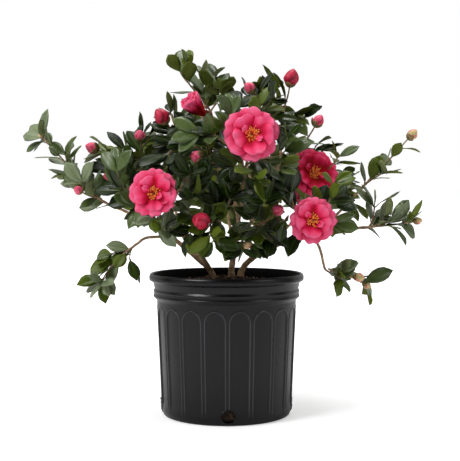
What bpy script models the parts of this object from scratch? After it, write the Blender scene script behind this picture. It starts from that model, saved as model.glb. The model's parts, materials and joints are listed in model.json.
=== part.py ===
"""Potted shishi gashira camellia.

A black nursery pot filled with potting mix carries three slender stems. They fork into
boughs, and each bough ends where it enters one mass of leafy twigs with its blooms and
buds. The origin is the centre of the pot's flat underside and +Z is up.
"""
import math
import random

import bpy
import bmesh
import numpy as np
from mathutils import Vector
from mathutils.bvhtree import BVHTree

MM = 0.001
GAP = 0.3 * MM

# Pot: outer and inner radii at their heights, in mm.
POT_SEGMENTS = 48
POT_OUTER = (
    (93.5, 0.0), (97.6, 1.5), (100.1, 9.5), (107.4, 178.0), (112.4, 183.6), (112.4, 192.6),
    (110.9, 195.2), (113.3, 205.4), (119.2, 208.8), (119.2, 215.4), (116.7, 219.1),
)
POT_WALL = (POT_OUTER[2], POT_OUTER[3])
POT_INNER = ((114.1, 217.4), (110.4, 212.0), (104.5, 177.0), (97.4, 10.0), (93.0, 3.0))
FLUTES = 18
FLUTE_TURN = 1.0
FLUTE_HALF_ANGLE = 8.4
FLUTE_BOTTOM = 11.0
FLUTE_TOP = 169.0
FLUTE_ARCH = 17.0
FLUTE_DEPTH = 1.1
FLUTE_ARCH_STEPS = 5
HOLES = 4
HOLE_TURN = 1.8
HOLE_WIDTH = 21.0
HOLE_HEIGHT = 18.5
HOLE_CENTRE_HEIGHT = 14.0

# Potting mix: a filled plug with a level crown under the stems.
SOIL_SEGMENTS = 24
SOIL_CLEARANCE = 0.6
SOIL_FLOOR = 3.4
SOIL_EDGE_TOP = 197.0
SOIL_TOP = 207.0
SOIL_CROWN_RADIUS = 46.0

# Limbs: name, parent, share of the parent's length, tip in mm, lift of the end, root and
# tip radius in mm. A share of 1 carries the parent on from its tip.
STEM_BASE = SOIL_TOP + 0.3
STEMS = (
    ("stem_left", (-20, 0), (-33, -4, 231), -0.5, 4.8, 4.0),
    ("stem_centre", (7, -10), (18, -6, 291), 0.2, 5.0, 3.7),
    ("stem_right", (21, 13), (71, 6, 258), -0.4, 4.8, 3.8),
)
ROOT_FLARE = 3.2
BOUGHS = (
    ("bough_left_low", "stem_left", 1.00, (-109, -30, 292), -0.15, 3.9, 2.7),
    ("bough_left_up", "stem_left", 0.66, (-83, -62, 311), 0.2, 3.0, 2.1),
    ("bough_back_left", "stem_left", 0.40, (-95, 92, 305), 0.1, 2.9, 2.1),
    ("bough_far_left", "bough_left_low", 1.00, (-168, -28, 320), -0.1, 2.7, 2.0),
    ("bough_left_droop", "bough_left_low", 0.72, (-131, -56, 268), -0.7, 2.2, 1.8),
    ("bough_upper_left", "bough_left_up", 0.50, (-103, 15, 370), 0.5, 2.2, 1.8),
    ("bough_centre_left", "stem_centre", 1.00, (-12, -28, 378), 0.3, 3.4, 2.5),
    ("bough_centre_right", "stem_centre", 0.82, (76, 2, 374), 0.2, 3.1, 2.3),
    ("bough_centre_front", "stem_centre", 0.62, (25, -86, 356), 0.6, 2.7, 2.0),
    ("bough_front_low", "stem_centre", 0.36, (-9, -80, 298), 0.3, 2.6, 2.0),
    ("bough_back_mid", "stem_centre", 0.48, (2, 95, 308), 0.2, 2.8, 2.1),
    ("bough_mid_left", "bough_centre_left", 0.62, (-54, -44, 404), 0.5, 2.1, 1.8),
    ("bough_top_left", "bough_centre_left", 1.00, (-20, 0, 448), 0.4, 2.4, 1.9),
    ("bough_back_top", "bough_centre_right", 0.42, (32, 62, 398), 0.5, 2.2, 1.8),
    ("bough_top_right", "bough_centre_right", 1.00, (85, 10, 447), 0.4, 2.2, 1.8),
    ("bough_upper_right", "bough_centre_right", 0.74, (112, 36, 405), 0.5, 2.1, 1.8),
    ("bough_low_centre", "stem_right", 0.50, (48, -68, 290), 0.4, 2.5, 1.9),
    ("bough_right_mid", "stem_right", 1.00, (204, -20, 289), -0.1, 3.6, 2.2),
    ("bough_back_right", "stem_right", 0.66, (112, 92, 302), 0.2, 2.6, 2.0),
    ("bough_right_front", "bough_right_mid", 0.20, (99, -82, 298), 0.4, 2.5, 1.9),
    ("bough_right_shade", "bough_right_mid", 0.33, (126, 45, 344), 0.5, 2.3, 1.8),
    ("bough_right_low", "bough_right_mid", 0.44, (147, -42, 233), -0.9, 2.2, 1.8),
    ("bough_right_up", "bough_right_mid", 0.56, (203, 6, 343), 0.1, 2.2, 1.8),
)

# Masses: name, bough, seed, habit, then leaders as tip in mm, lift, what ends it and its
# size. An open mass is a bare shoot; the others carry side twigs.
MASSES = (
    ("mass_centre_bloom", "bough_centre_front", 3382, "full", (
        ((36, -142, 426), 0.2, "bloom", 83), ((8, -104, 456), 0.5, "leaf", 0),
        ((-32, -112, 392), 0.6, "bud", 19), ((84, -98, 402), 0.4, "leaf", 0),
        ((-18, -118, 428), 0.4, "leaf", 0), ((56, -122, 374), 0.2, "leaf", 0),
        ((46, -84, 462), 0.4, "leaf", 0))),
    ("mass_left_bloom", "bough_left_up", 3501, "full", (
        ((-103, -136, 343), 0.2, "bloom", 72), ((-150, -96, 346), 0.2, "leaf", 0),
        ((-62, -124, 356), 0.4, "leaf", 0), ((-100, -104, 302), -0.2, "leaf", 0))),
    ("mass_right_bloom", "bough_right_front", 3051, "full", (
        ((123, -136, 304), 0.0, "bloom", 70), ((150, -104, 330), 0.4, "leaf", 0),
        ((92, -118, 342), 0.6, "leaf", 0), ((152, -92, 300), 0.0, "leaf", 0),
        ((108, -104, 284), -0.1, "leaf", 0))),
    ("mass_centre_front", "bough_front_low", 3627, "full", (
        ((-30, -132, 304), 0.1, "bud", 26), ((-52, -112, 312), 0.4, "leaf", 0),
        ((6, -128, 334), 0.5, "leaf", 0), ((-34, -108, 284), -0.1, "leaf", 0))),
    ("mass_low_centre", "bough_low_centre", 3298, "full", (
        ((70, -110, 314), 0.4, "bud", 18), ((34, -98, 272), -0.3, "bud", 13),
        ((48, -116, 334), 0.5, "leaf", 0), ((66, -96, 282), -0.2, "leaf", 0),
        ((14, -96, 276), -0.2, "leaf", 0))),
    ("mass_upper_left", "bough_upper_left", 3175, "full", (
        ((-196, -12, 408), 0.3, "bud", 19), ((-172, -24, 370), 0.3, "bud", 16),
        ((-132, -4, 422), 0.6, "bud", 17), ((-140, 12, 424), 0.5, "leaf", 0))),
    ("mass_mid_left", "bough_mid_left", 3670, "full", (
        ((-88, -64, 446), 0.4, "bud", 24), ((-42, -84, 466), 0.5, "half", 40),
        ((-84, -36, 462), 0.4, "leaf", 0), ((-86, -80, 398), 0.1, "leaf", 0))),
    ("mass_top_left", "bough_top_left", 3536, "full", (
        ((-70, -6, 526), 0.0, "leaf", 0), ((-8, 0, 492), 0.5, "leaf", 0),
        ((-36, 16, 500), 0.6, "leaf", 0))),
    ("mass_top_right", "bough_top_right", 3549, "full", (
        ((97, 5, 506), 0.5, "bud", 25), ((42, -18, 496), 0.6, "bud", 18),
        ((92, -16, 458), 0.3, "leaf", 0), ((62, 8, 492), 0.5, "leaf", 0))),
    ("mass_upper_right", "bough_upper_right", 3433, "full", (
        ((138, 28, 446), 0.3, "bud", 19), ((140, 46, 412), 0.2, "leaf", 0),
        ((100, 46, 428), 0.5, "leaf", 0))),
    ("mass_right_shade", "bough_right_shade", 3545, "full", (
        ((134, -20, 373), 0.2, "bloom", 80), ((168, -36, 396), 0.4, "leaf", 0),
        ((172, 52, 388), 0.3, "leaf", 0), ((164, 72, 352), 0.2, "leaf", 0),
        ((176, 0, 332), 0.1, "leaf", 0))),
    ("mass_far_left", "bough_far_left", 2379, "open", (
        ((-277, -32, 426), 0.0, "bud", 8), ((-216, -52, 344), 0.5, "bud", 14))),
    ("mass_left_droop", "bough_left_droop", 4919, "open", (
        ((-183, -76, 214), -0.6, "leaf", 0), ((-170, -62, 252), -0.2, "leaf", 0))),
    ("mass_far_right_up", "bough_right_up", 5433, "open", (
        ((282, 12, 426), 0.1, "bud", 17), ((236, -16, 372), 0.2, "leaf", 0))),
    ("mass_far_right_mid", "bough_right_mid", 4290, "open", (
        ((284, -30, 299), 0.1, "bud", 12), ((226, -18, 322), 0.5, "leaf", 0),
        ((246, -44, 300), 0.0, "leaf", 0))),
    ("mass_right_droop", "bough_right_low", 5603, "open", (
        ((190, -62, 218), 0.0, "bud", 15), ((206, -44, 206), -0.2, "bud", 12),
        ((168, -66, 214), -0.4, "leaf", 0))),
    ("mass_back_left", "bough_back_left", 3005, "wide", (
        ((-170, 104, 350), 0.1, "leaf", 0), ((-134, 170, 340), 0.1, "bud", 17),
        ((-112, 122, 398), 0.5, "leaf", 0), ((-78, 176, 372), 0.4, "leaf", 0))),
    ("mass_back_mid", "bough_back_mid", 3005, "wide", (
        ((-34, 196, 332), 0.1, "leaf", 0), ((40, 206, 352), 0.3, "bud", 18),
        ((-20, 152, 386), 0.5, "leaf", 0), ((60, 168, 312), 0.0, "leaf", 0))),
    ("mass_back_right", "bough_back_right", 3007, "wide", (
        ((178, 110, 342), 0.1, "leaf", 0), ((142, 178, 336), 0.2, "bloom", 66),
        ((112, 134, 394), 0.5, "leaf", 0), ((168, 142, 314), 0.0, "leaf", 0))),
    ("mass_back_top", "bough_back_top", 3009, "wide", (
        ((-46, 92, 456), 0.4, "leaf", 0), ((64, 106, 466), 0.4, "bud", 20),
        ((14, 134, 434), 0.4, "leaf", 0), ((14, 66, 480), 0.6, "leaf", 0))),
)

# Habits: leaf spacing in mm on leaders and on side twigs; an open mass has no side twigs.
HABITS = {"full": (17.0, 15.0), "open": (18.0, 0.0), "wide": (27.0, 24.0)}

# Leafy twigs, in mm and degrees.
SAMPLE_STEP = 6.0
LEADER_PIECE = 38.0
LEADER_TAPER = 0.82
LEAF_TURN = 144.0
LEAF_LENGTH = (36.0, 51.0)
LEAF_WIDTH_SHARE = 0.50
LEAF_THICKNESS = 1.3
LEAF_LEAN = (38.0, 64.0)
LEAF_TILT = 0.9
LEAF_BARE_START = 16.0
LEAF_TRIES = (0.0, 75.0, -75.0, 150.0)
LEAF_TRIAL_START = 0.14
LEAF_TRIAL_GROWTH = 1.03
SIDE_STEP = 44.0
SIDE_LENGTH = (32.0, 50.0)
SIDE_BARE_START = 11.0
SIDE_TRIES = (0.0, 90.0, -90.0)
TWIG_TIP_RADIUS = 0.9
SIDE_ROOT_RADIUS = 1.15
SPACE_SLACK = 14.0
LIMB_CLEAR = 1.2
BLOOM_CLEAR = 3.0
SIGHT_REACH = {"bloom": 45.0, "half": 90.0, "bud": 170.0}
SIGHT_SHARE = 0.42
SIGHT_MARGIN = 5.0
SIGHT_TURN = 60.0
FACING_MIDDLE = 90.0
CROWN_CENTRE = Vector((0.0, 0.0, 300.0))
LIGHT_WIDTH = 0.25
LIGHT_MIDDLE = 30.0
LIGHT_HEIGHT = 75.0
POT_KEEP_RADIUS = 120.0
POT_KEEP_TOP = 222.0

COLOURS = {
    "pot_plastic": ((0.018, 0.018, 0.020), 0.42),
    "potting_mix": ((0.052, 0.032, 0.020), 0.95),
    "bark": ((0.180, 0.105, 0.065), 0.85),
    "foliage": ((0.022, 0.060, 0.016), 0.38),
}


def clear_scene():
    """Remove every object that the scene starts with."""
    for item in list(bpy.data.objects):
        bpy.data.objects.remove(item, do_unlink=True)


def make_material(name):
    """A plain shaded material in one of the named colours."""
    colour, roughness = COLOURS[name]
    material = bpy.data.materials.new(name)
    material.use_nodes = True
    shader = material.node_tree.nodes["Principled BSDF"]
    shader.inputs["Base Color"].default_value = (*colour, 1.0)
    shader.inputs["Roughness"].default_value = roughness
    shader.inputs["Metallic"].default_value = 0.0
    return material


def add_object(name, points, faces, material, smooth=False, split=False):
    """A closed mesh object from points in mm, with its faces split where they are bent."""
    mesh = bpy.data.meshes.new(name)
    mesh.from_pydata([tuple(c * MM for c in point) for point in points], [], faces)
    mesh.materials.append(material)
    mesh.validate()
    work = bmesh.new()
    work.from_mesh(mesh)
    if split:
        bmesh.ops.triangulate(work, faces=work.faces[:])
    bmesh.ops.recalc_face_normals(work, faces=work.faces[:])
    work.to_mesh(mesh)
    work.free()
    for polygon in mesh.polygons:
        polygon.use_smooth = smooth
    item = bpy.data.objects.new(name, mesh)
    bpy.context.scene.collection.objects.link(item)
    return item


def drop_object(item):
    """Remove a helper and its mesh."""
    mesh = item.data
    bpy.data.objects.remove(item, do_unlink=True)
    bpy.data.meshes.remove(mesh)


def apply_boolean(target, operation, helpers, solver="EXACT"):
    """Cut or join a target with a collection of helpers, which are then removed."""
    group = bpy.data.collections.new("helpers")
    bpy.context.scene.collection.children.link(group)
    for helper in helpers:
        bpy.context.scene.collection.objects.unlink(helper)
        group.objects.link(helper)
        helper.hide_render = True
        helper.display_type = "WIRE"
    modifier = target.modifiers.new("join", "BOOLEAN")
    modifier.operation = operation
    modifier.operand_type = "COLLECTION"
    modifier.collection = group
    modifier.solver = solver
    bpy.context.view_layer.update()
    bpy.context.view_layer.objects.active = target
    bpy.ops.object.modifier_apply(modifier=modifier.name)
    for helper in helpers:
        drop_object(helper)
    bpy.data.collections.remove(group)


def keep_largest(item):
    """Keep the largest connected piece of a mesh and drop loose scrap."""
    work = bmesh.new()
    work.from_mesh(item.data)
    left = set(work.verts)
    pieces = []
    while left:
        piece = []
        stack = [left.pop()]
        while stack:
            vertex = stack.pop()
            piece.append(vertex)
            for edge in vertex.link_edges:
                other = edge.other_vert(vertex)
                if other in left:
                    left.remove(other)
                    stack.append(other)
        pieces.append(piece)
    pieces.sort(key=len, reverse=True)
    scrap = [vertex for piece in pieces[1:] for vertex in piece]
    if scrap:
        bmesh.ops.delete(work, geom=scrap, context="VERTS")
    work.to_mesh(item.data)
    work.free()
    return len(pieces)


def lathe(rings, segments):
    """Points and faces of rings (radius, height) turned about Z, closed at both ends."""
    points = []
    for radius, height in rings:
        for k in range(segments):
            angle = 2.0 * math.pi * k / segments
            points.append((radius * math.cos(angle), radius * math.sin(angle), height))
    faces = []
    for i in range(len(rings) - 1):
        for k in range(segments):
            a = i * segments + k
            b = i * segments + (k + 1) % segments
            faces.append((a, b, b + segments, a + segments))
    faces.append(tuple(range(segments)))
    faces.append(tuple((len(rings) - 1) * segments + k for k in range(segments)))
    return points, faces


def wall_radius(height):
    """Outer radius of the pot's plain wall at a height."""
    low, high = POT_WALL
    share = (height - low[1]) / (high[1] - low[1])
    return low[0] + share * (high[0] - low[0])


def flute_cutter(name, centre_angle, material):
    """A radial plate under an arched outline, sunk into the wall and fading at its foot."""
    outline = [(-FLUTE_HALF_ANGLE, FLUTE_BOTTOM, 0.1)]
    for k in range(FLUTE_ARCH_STEPS + 1):
        turn = math.pi * k / FLUTE_ARCH_STEPS
        angle = -FLUTE_HALF_ANGLE * math.cos(turn)
        height = FLUTE_TOP - FLUTE_ARCH + FLUTE_ARCH * math.sin(turn)
        outline.append((angle, height, FLUTE_DEPTH))
    outline.append((FLUTE_HALF_ANGLE, FLUTE_BOTTOM, 0.1))
    middle = (FLUTE_TOP + FLUTE_BOTTOM) / 2.0
    points = []
    for angle, height, depth in outline + [(0.0, FLUTE_TOP - FLUTE_ARCH, FLUTE_DEPTH),
                                           (0.0, middle, FLUTE_DEPTH)]:
        turn = math.radians(centre_angle + angle)
        radius = wall_radius(height) - depth
        points.append((radius * math.cos(turn), radius * math.sin(turn), height))
    count = len(outline)
    for angle, height, depth in outline:
        turn = math.radians(centre_angle + angle)
        radius = wall_radius(height) + 4.0
        points.append((radius * math.cos(turn), radius * math.sin(turn), height))
    upper, lower = count, count + 1
    outer = count + 2
    faces = [(upper, k + 1, k) for k in range(1, count - 2)]
    faces.append((lower, 1, 0))
    faces.append((lower, upper, 1))
    faces.append((lower, count - 2, upper))
    faces.append((lower, count - 1, count - 2))
    faces.append((lower, 0, count - 1))
    for k in range(count):
        following = (k + 1) % count
        faces.append((k, following, outer + following, outer + k))
    faces.append(tuple(outer + k for k in range(count)))
    return add_object(name, points, faces, material, split=True)


def hole_cutter(name, centre_angle, material):
    """A short radial oval bar through the wall's foot."""
    turn = math.radians(centre_angle)
    out = Vector((math.cos(turn), math.sin(turn), 0.0))
    across = Vector((-math.sin(turn), math.cos(turn), 0.0))
    sides = 10
    points = []
    for reach in (84.0, 112.0):
        for k in range(sides):
            angle = 2.0 * math.pi * (k + 0.5) / sides
            spot = out * reach + across * (HOLE_WIDTH / 2.0 * math.cos(angle))
            height = HOLE_CENTRE_HEIGHT + HOLE_HEIGHT / 2.0 * math.sin(angle)
            points.append((spot.x, spot.y, height))
    faces = [tuple(range(sides)), tuple(range(sides, 2 * sides))]
    for k in range(sides):
        following = (k + 1) % sides
        faces.append((k, following, sides + following, sides + k))
    return add_object(name, points, faces, material)


def build_pot(material):
    """The moulded pot with its rolled lip, band, arched flutes and drain holes."""
    points, faces = lathe(POT_OUTER + POT_INNER, POT_SEGMENTS)
    pot = add_object("pot", points, faces, material, smooth=True)
    cutters = []
    for k in range(FLUTES):
        angle = -90.0 + FLUTE_TURN + (k + 0.5) * 360.0 / FLUTES
        cutters.append(flute_cutter("flute_cutter", angle, material))
    apply_boolean(pot, "DIFFERENCE", cutters)
    cutters = []
    for k in range(HOLES):
        angle = -90.0 + HOLE_TURN + k * 360.0 / HOLES
        cutters.append(hole_cutter("hole_cutter", angle, material))
    apply_boolean(pot, "DIFFERENCE", cutters)
    return pot


def build_soil(material):
    """The plug of potting mix with a level crown that carries the stems."""
    rim, top, foot = POT_INNER[1], POT_INNER[2], POT_INNER[3]
    share = (SOIL_EDGE_TOP - top[1]) / (rim[1] - top[1])
    edge = top[0] + share * (rim[0] - top[0])
    rings = [(POT_INNER[4][0] - SOIL_CLEARANCE, SOIL_FLOOR)]
    rings += [(radius - SOIL_CLEARANCE, height) for radius, height in (foot, top)]
    rings.append((edge - SOIL_CLEARANCE, SOIL_EDGE_TOP))
    rings.append(((edge + SOIL_CROWN_RADIUS) / 2.0, (SOIL_EDGE_TOP + SOIL_TOP) / 2.0 + 1.0))
    rings.append((SOIL_CROWN_RADIUS, SOIL_TOP))
    points, faces = lathe(rings, SOIL_SEGMENTS)
    return add_object("soil", points, faces, material, smooth=True)


def bezier(p0, p1, p2, p3, count):
    """Points along a cubic curve."""
    spots = []
    for k in range(count + 1):
        t = k / count
        s = 1.0 - t
        spots.append(p0 * s ** 3 + p1 * 3 * s * s * t + p2 * 3 * s * t * t + p3 * t ** 3)
    return spots


def shoot_curve(start, heading, tip, lift, count):
    """A bent shoot that leaves along its heading and ends with its lift upward."""
    reach = (tip - start).length
    aim = (tip - start) / max(reach, 1e-6)
    end = (aim + Vector((0.0, 0.0, lift))).normalized()
    return bezier(start, start + heading * reach * 0.36, tip - end * reach * 0.36, tip, count)


def tangent_at(path, k):
    """Unit direction of a path at one of its points."""
    ahead = path[min(k + 1, len(path) - 1)]
    behind = path[max(k - 1, 0)]
    return (ahead - behind).normalized()


def point_along(path, share):
    """Point and direction at a share of a path's length."""
    lengths = [(path[k + 1] - path[k]).length for k in range(len(path) - 1)]
    left = share * sum(lengths)
    for k, length in enumerate(lengths):
        if left <= length or k == len(lengths) - 1:
            step = path[k + 1] - path[k]
            return path[k] + step * min(left / length, 1.0), step.normalized()
        left -= length
    return path[-1], tangent_at(path, len(path) - 1)


def tube(path, radii, sides, first=None, last=None):
    """Points and faces of a round tapering bar with flat ends along a path."""
    normal = Vector((0.0, 0.0, 1.0)).cross(tangent_at(path, 0))
    if normal.length < 0.2:
        normal = Vector((1.0, 0.0, 0.0))
    points = []
    for k, spot in enumerate(path):
        along = tangent_at(path, k)
        if k == 0 and first is not None:
            along = first
        if k == len(path) - 1 and last is not None:
            along = last
        normal = (normal - along * normal.dot(along)).normalized()
        other = along.cross(normal)
        for side in range(sides):
            angle = 2.0 * math.pi * side / sides
            offset = normal * math.cos(angle) + other * math.sin(angle)
            points.append(spot + offset * radii[k])
    faces = [tuple(range(sides)), tuple((len(path) - 1) * sides + s for s in range(sides))]
    for k in range(len(path) - 1):
        for side in range(sides):
            a = k * sides + side
            b = k * sides + (side + 1) % sides
            faces.append((a, b, b + sides, a + sides))
    return points, faces


def taper(first, last, count):
    """Radii that shrink evenly from the root to the tip."""
    return [first + (last - first) * k / count for k in range(count + 1)]


def plan_limbs():
    """Path, radii and headings of every stem and bough."""
    limbs = {}
    up = Vector((0.0, 0.0, 1.0))
    for name, base, tip, lift, root_radius, tip_radius in STEMS:
        start = Vector((base[0], base[1], STEM_BASE))
        count = 5
        path = shoot_curve(start, up, Vector(tip), lift, count)
        radii = taper(root_radius, tip_radius, count)
        radii[0] += ROOT_FLARE
        radii[1] += ROOT_FLARE * 0.12
        limbs[name] = {"path": path, "radii": radii, "parent": None, "first": up, "sides": 8}
    for name, parent, share, tip, lift, root_radius, tip_radius in BOUGHS:
        host = limbs[parent]
        tip = Vector(tip)
        if share >= 1.0:
            heading = tangent_at(host["path"], len(host["path"]) - 1)
            start = host["path"][-1] + heading * (GAP / MM)
            first = heading
        else:
            start, along = point_along(host["path"], share)
            aim = (tip - start).normalized()
            side = (aim - along * aim.dot(along)).normalized()
            heading = (side * 0.75 + along * 0.66).normalized()
            first = None
        count = 5 if (tip - start).length > 90.0 else 4
        path = shoot_curve(start, heading, tip, lift, count)
        limbs[name] = {"path": path, "radii": taper(root_radius, tip_radius, count),
                       "parent": parent, "first": first, "sides": 6}
    return limbs


def tree_of(item):
    """Search tree over an object's triangles."""
    work = bmesh.new()
    work.from_mesh(item.data)
    bmesh.ops.triangulate(work, faces=work.faces[:])
    tree = BVHTree.FromBMesh(work)
    work.free()
    return tree


def build_limbs(limbs, material):
    """Stems and boughs, each cut clear of those before it."""
    done = []
    for name, limb in limbs.items():
        last = tangent_at(limb["path"], len(limb["path"]) - 1)
        points, faces = tube(limb["path"], limb["radii"], limb["sides"], limb["first"], last)
        item = add_object(name, points, faces, material, smooth=True)
        cutters = []
        for other in done:
            if limb["first"] is not None and other == limb["parent"]:
                continue
            host = limbs[other]
            grown = [radius + GAP / MM / math.cos(math.pi / host["sides"])
                     for radius in host["radii"]]
            end = tangent_at(host["path"], len(host["path"]) - 1)
            points, faces = tube(host["path"], grown, host["sides"], host["first"], end)
            cutter = add_object("limb_cutter", points, faces, material)
            if tree_of(cutter).overlap(tree_of(item)):
                cutters.append(cutter)
            else:
                drop_object(cutter)
        if cutters:
            apply_boolean(item, "DIFFERENCE", cutters)
            keep_largest(item)
        done.append(name)


def dense(path, step):
    """The points of a path with others set between them at about the step."""
    spots = []
    for k in range(len(path) - 1):
        pieces = max(1, int(round((path[k + 1] - path[k]).length / step)))
        for i in range(pieces):
            spots.append(path[k].lerp(path[k + 1], i / pieces))
    spots.append(path[-1])
    return spots


def plan_leaders(limbs):
    """Paths of the leading twigs of every mass, from its bough's tip."""
    plans = {}
    for name, bough, seed, habit, rows in MASSES:
        host = limbs[bough]
        heading = tangent_at(host["path"], len(host["path"]) - 1)
        leaders = []
        for k, (tip, lift, end, size) in enumerate(rows):
            tip = Vector(tip)
            if k == 0:
                start = host["path"][-1] + heading * (GAP / MM)
                away = heading
            else:
                start, away = point_along(leaders[0]["path"], 0.05 + 0.11 * k)
            count = max(2, int(round((tip - start).length / LEADER_PIECE)))
            if k > 0:
                aim = (tip - start).normalized()
                away = (away * 0.5 + aim * 0.8).normalized()
            path = shoot_curve(start, away, tip, lift, count)
            root = host["radii"][-1] * (1.0 if k == 0 else LEADER_TAPER)
            leaders.append({"path": path, "radii": taper(root, TWIG_TIP_RADIUS * 1.1, count),
                            "end": end, "size": size})
        plans[name] = {"leaders": leaders, "heading": heading, "seed": seed, "habit": habit}
    return plans


class Space:
    """Keeps every mass to its own room and clear of all that has been placed."""

    def __init__(self, limbs, plans):
        spots = []
        owners = []
        self.owner = {name: k for k, name in enumerate(plans)}
        self.blooms = []
        self.sights = []
        self.trees = []
        self.lows = []
        self.highs = []
        self.owners = []
        for limb in limbs.values():
            grown = [radius + LIMB_CLEAR for radius in limb["radii"]]
            self.add(tube(limb["path"], grown, limb["sides"]), -1)
        for name, plan in plans.items():
            for leader in plan["leaders"]:
                fine = dense(leader["path"], SAMPLE_STEP)
                spots += [tuple(spot) for spot in fine]
                owners += [self.owner[name]] * len(fine)
                grown = [radius + LIMB_CLEAR for radius in leader["radii"]]
                self.add(tube(leader["path"], grown, 3), self.owner[name])
                if leader["end"] in ("bloom", "half"):
                    self.blooms.append((*leader["path"][-1], leader["size"] / 2.0 + BLOOM_CLEAR))
                if leader["end"] != "leaf":
                    self.sights.append(self.sight(leader))
        self.spots = np.array(spots)
        self.spot_owners = np.array(owners)
        self.blooms = np.array(self.blooms)
        self.sights = np.array(self.sights)

    def sight(self, leader):
        """Middle, radius, side and reach of the open lane before a bloom or bud."""
        tip = leader["path"][-1]
        side = -1.0 if tip.y < SIGHT_TURN else 1.0
        reach = SIGHT_REACH[leader["end"]]
        if leader["end"] == "bloom":
            return (*tip, leader["size"] * SIGHT_SHARE, side, reach)
        along = tangent_at(leader["path"], len(leader["path"]) - 1)
        middle = tip + along * leader["size"] / 2.0
        return (*middle, leader["size"] / 2.0 + SIGHT_MARGIN, side, reach)

    def add(self, solid, owner):
        """Remember a placed solid and whose it is."""
        points, faces = solid
        cloud = np.array([tuple(point) for point in points])
        self.trees.append(BVHTree.FromPolygons(points, faces))
        self.lows.append(cloud.min(axis=0))
        self.highs.append(cloud.max(axis=0))
        self.owners.append(owner)

    def in_room(self, name, spots):
        """True if the spots are the mass's own, clear of blooms, buds and the pot."""
        spots = np.array([tuple(spot) for spot in spots])
        reach = np.linalg.norm(spots[:, None, :] - self.spots[None, :, :], axis=2)
        own = self.spot_owners == self.owner[name]
        if np.any(reach[:, own].min(axis=1) > reach[:, ~own].min(axis=1) + SPACE_SLACK):
            return False
        away = np.linalg.norm(spots[:, None, :] - self.blooms[None, :, :3], axis=2)
        if np.any(away < self.blooms[None, :, 3]):
            return False
        lane = spots[:, None, :] - self.sights[None, :, :3]
        ahead = np.clip(lane[:, :, 1] * self.sights[:, 4], 0.0, self.sights[:, 5])
        lane[:, :, 1] -= ahead * self.sights[:, 4]
        if np.any(np.linalg.norm(lane, axis=2) < self.sights[:, 3]):
            return False
        low = (np.hypot(spots[:, 0], spots[:, 1]) < POT_KEEP_RADIUS) & (spots[:, 2] < POT_KEEP_TOP)
        return not np.any(low)

    def clear(self, solid, name, own_leaves):
        """True if a solid touches nothing placed by others, nor these leaves of its own."""
        points, faces = solid
        tree = BVHTree.FromPolygons(points, faces)
        cloud = np.array([tuple(point) for point in points])
        low, high = cloud.min(axis=0), cloud.max(axis=0)
        near = np.all(np.array(self.lows) <= high, axis=1)
        near &= np.all(np.array(self.highs) >= low, axis=1)
        for k in np.nonzero(near)[0]:
            if self.owners[k] == self.owner[name] and k not in own_leaves:
                continue
            if tree.overlap(self.trees[k]):
                return False
        return True


def leaf_frame(root, along, turn, lean, tilt):
    """Direction, width axis and face normal of a leaf on a twig."""
    side = along.cross(Vector((0.0, 0.0, 1.0)))
    if side.length < 0.1:
        side = Vector((1.0, 0.0, 0.0))
    side.normalize()
    other = along.cross(side)
    radial = side * math.cos(turn) + other * math.sin(turn)
    outward = (root - CROWN_CENTRE).normalized()
    course = along * math.cos(lean) + radial * math.sin(lean) + outward * 0.25
    course.normalize()
    light = Vector((root.x * LIGHT_WIDTH, root.y - LIGHT_MIDDLE, LIGHT_HEIGHT)).normalized()
    face = light + side * tilt
    face = (face - course * face.dot(course)).normalized()
    return course, course.cross(face), face


def leaf_shape(leaf, start=0.0, growth=1.0):
    """Points and faces of a pointed blade with a flat top and a keel under it."""
    root, course, across, face, length = leaf
    width = length * LEAF_WIDTH_SHARE / 2.0 * growth
    thick = LEAF_THICKNESS * growth * growth
    wide = root + course * length * 0.46
    tip = root + course * length * growth - face * 2.0
    keel = root + course * length * 0.38 + face * (0.9 - thick)
    points = [root + course * length * start, tip, wide + across * width + face * 0.9,
              wide - across * width + face * 0.9, keel]
    faces = [(0, 2, 3), (1, 3, 2), (0, 4, 2), (0, 3, 4), (1, 2, 4), (1, 4, 3)]
    return points, faces


def leaf_spots(leaf):
    """Spots on a leaf's blade where its room is tried."""
    root, course, across, _, length = leaf
    spots = [root + course * length * share for share in (0.3, 0.6, 1.0)]
    middle = root + course * length * 0.46
    for part in (0.5, -0.5):
        spots.append(middle + across * length * LEAF_WIDTH_SHARE * part)
    return spots


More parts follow.
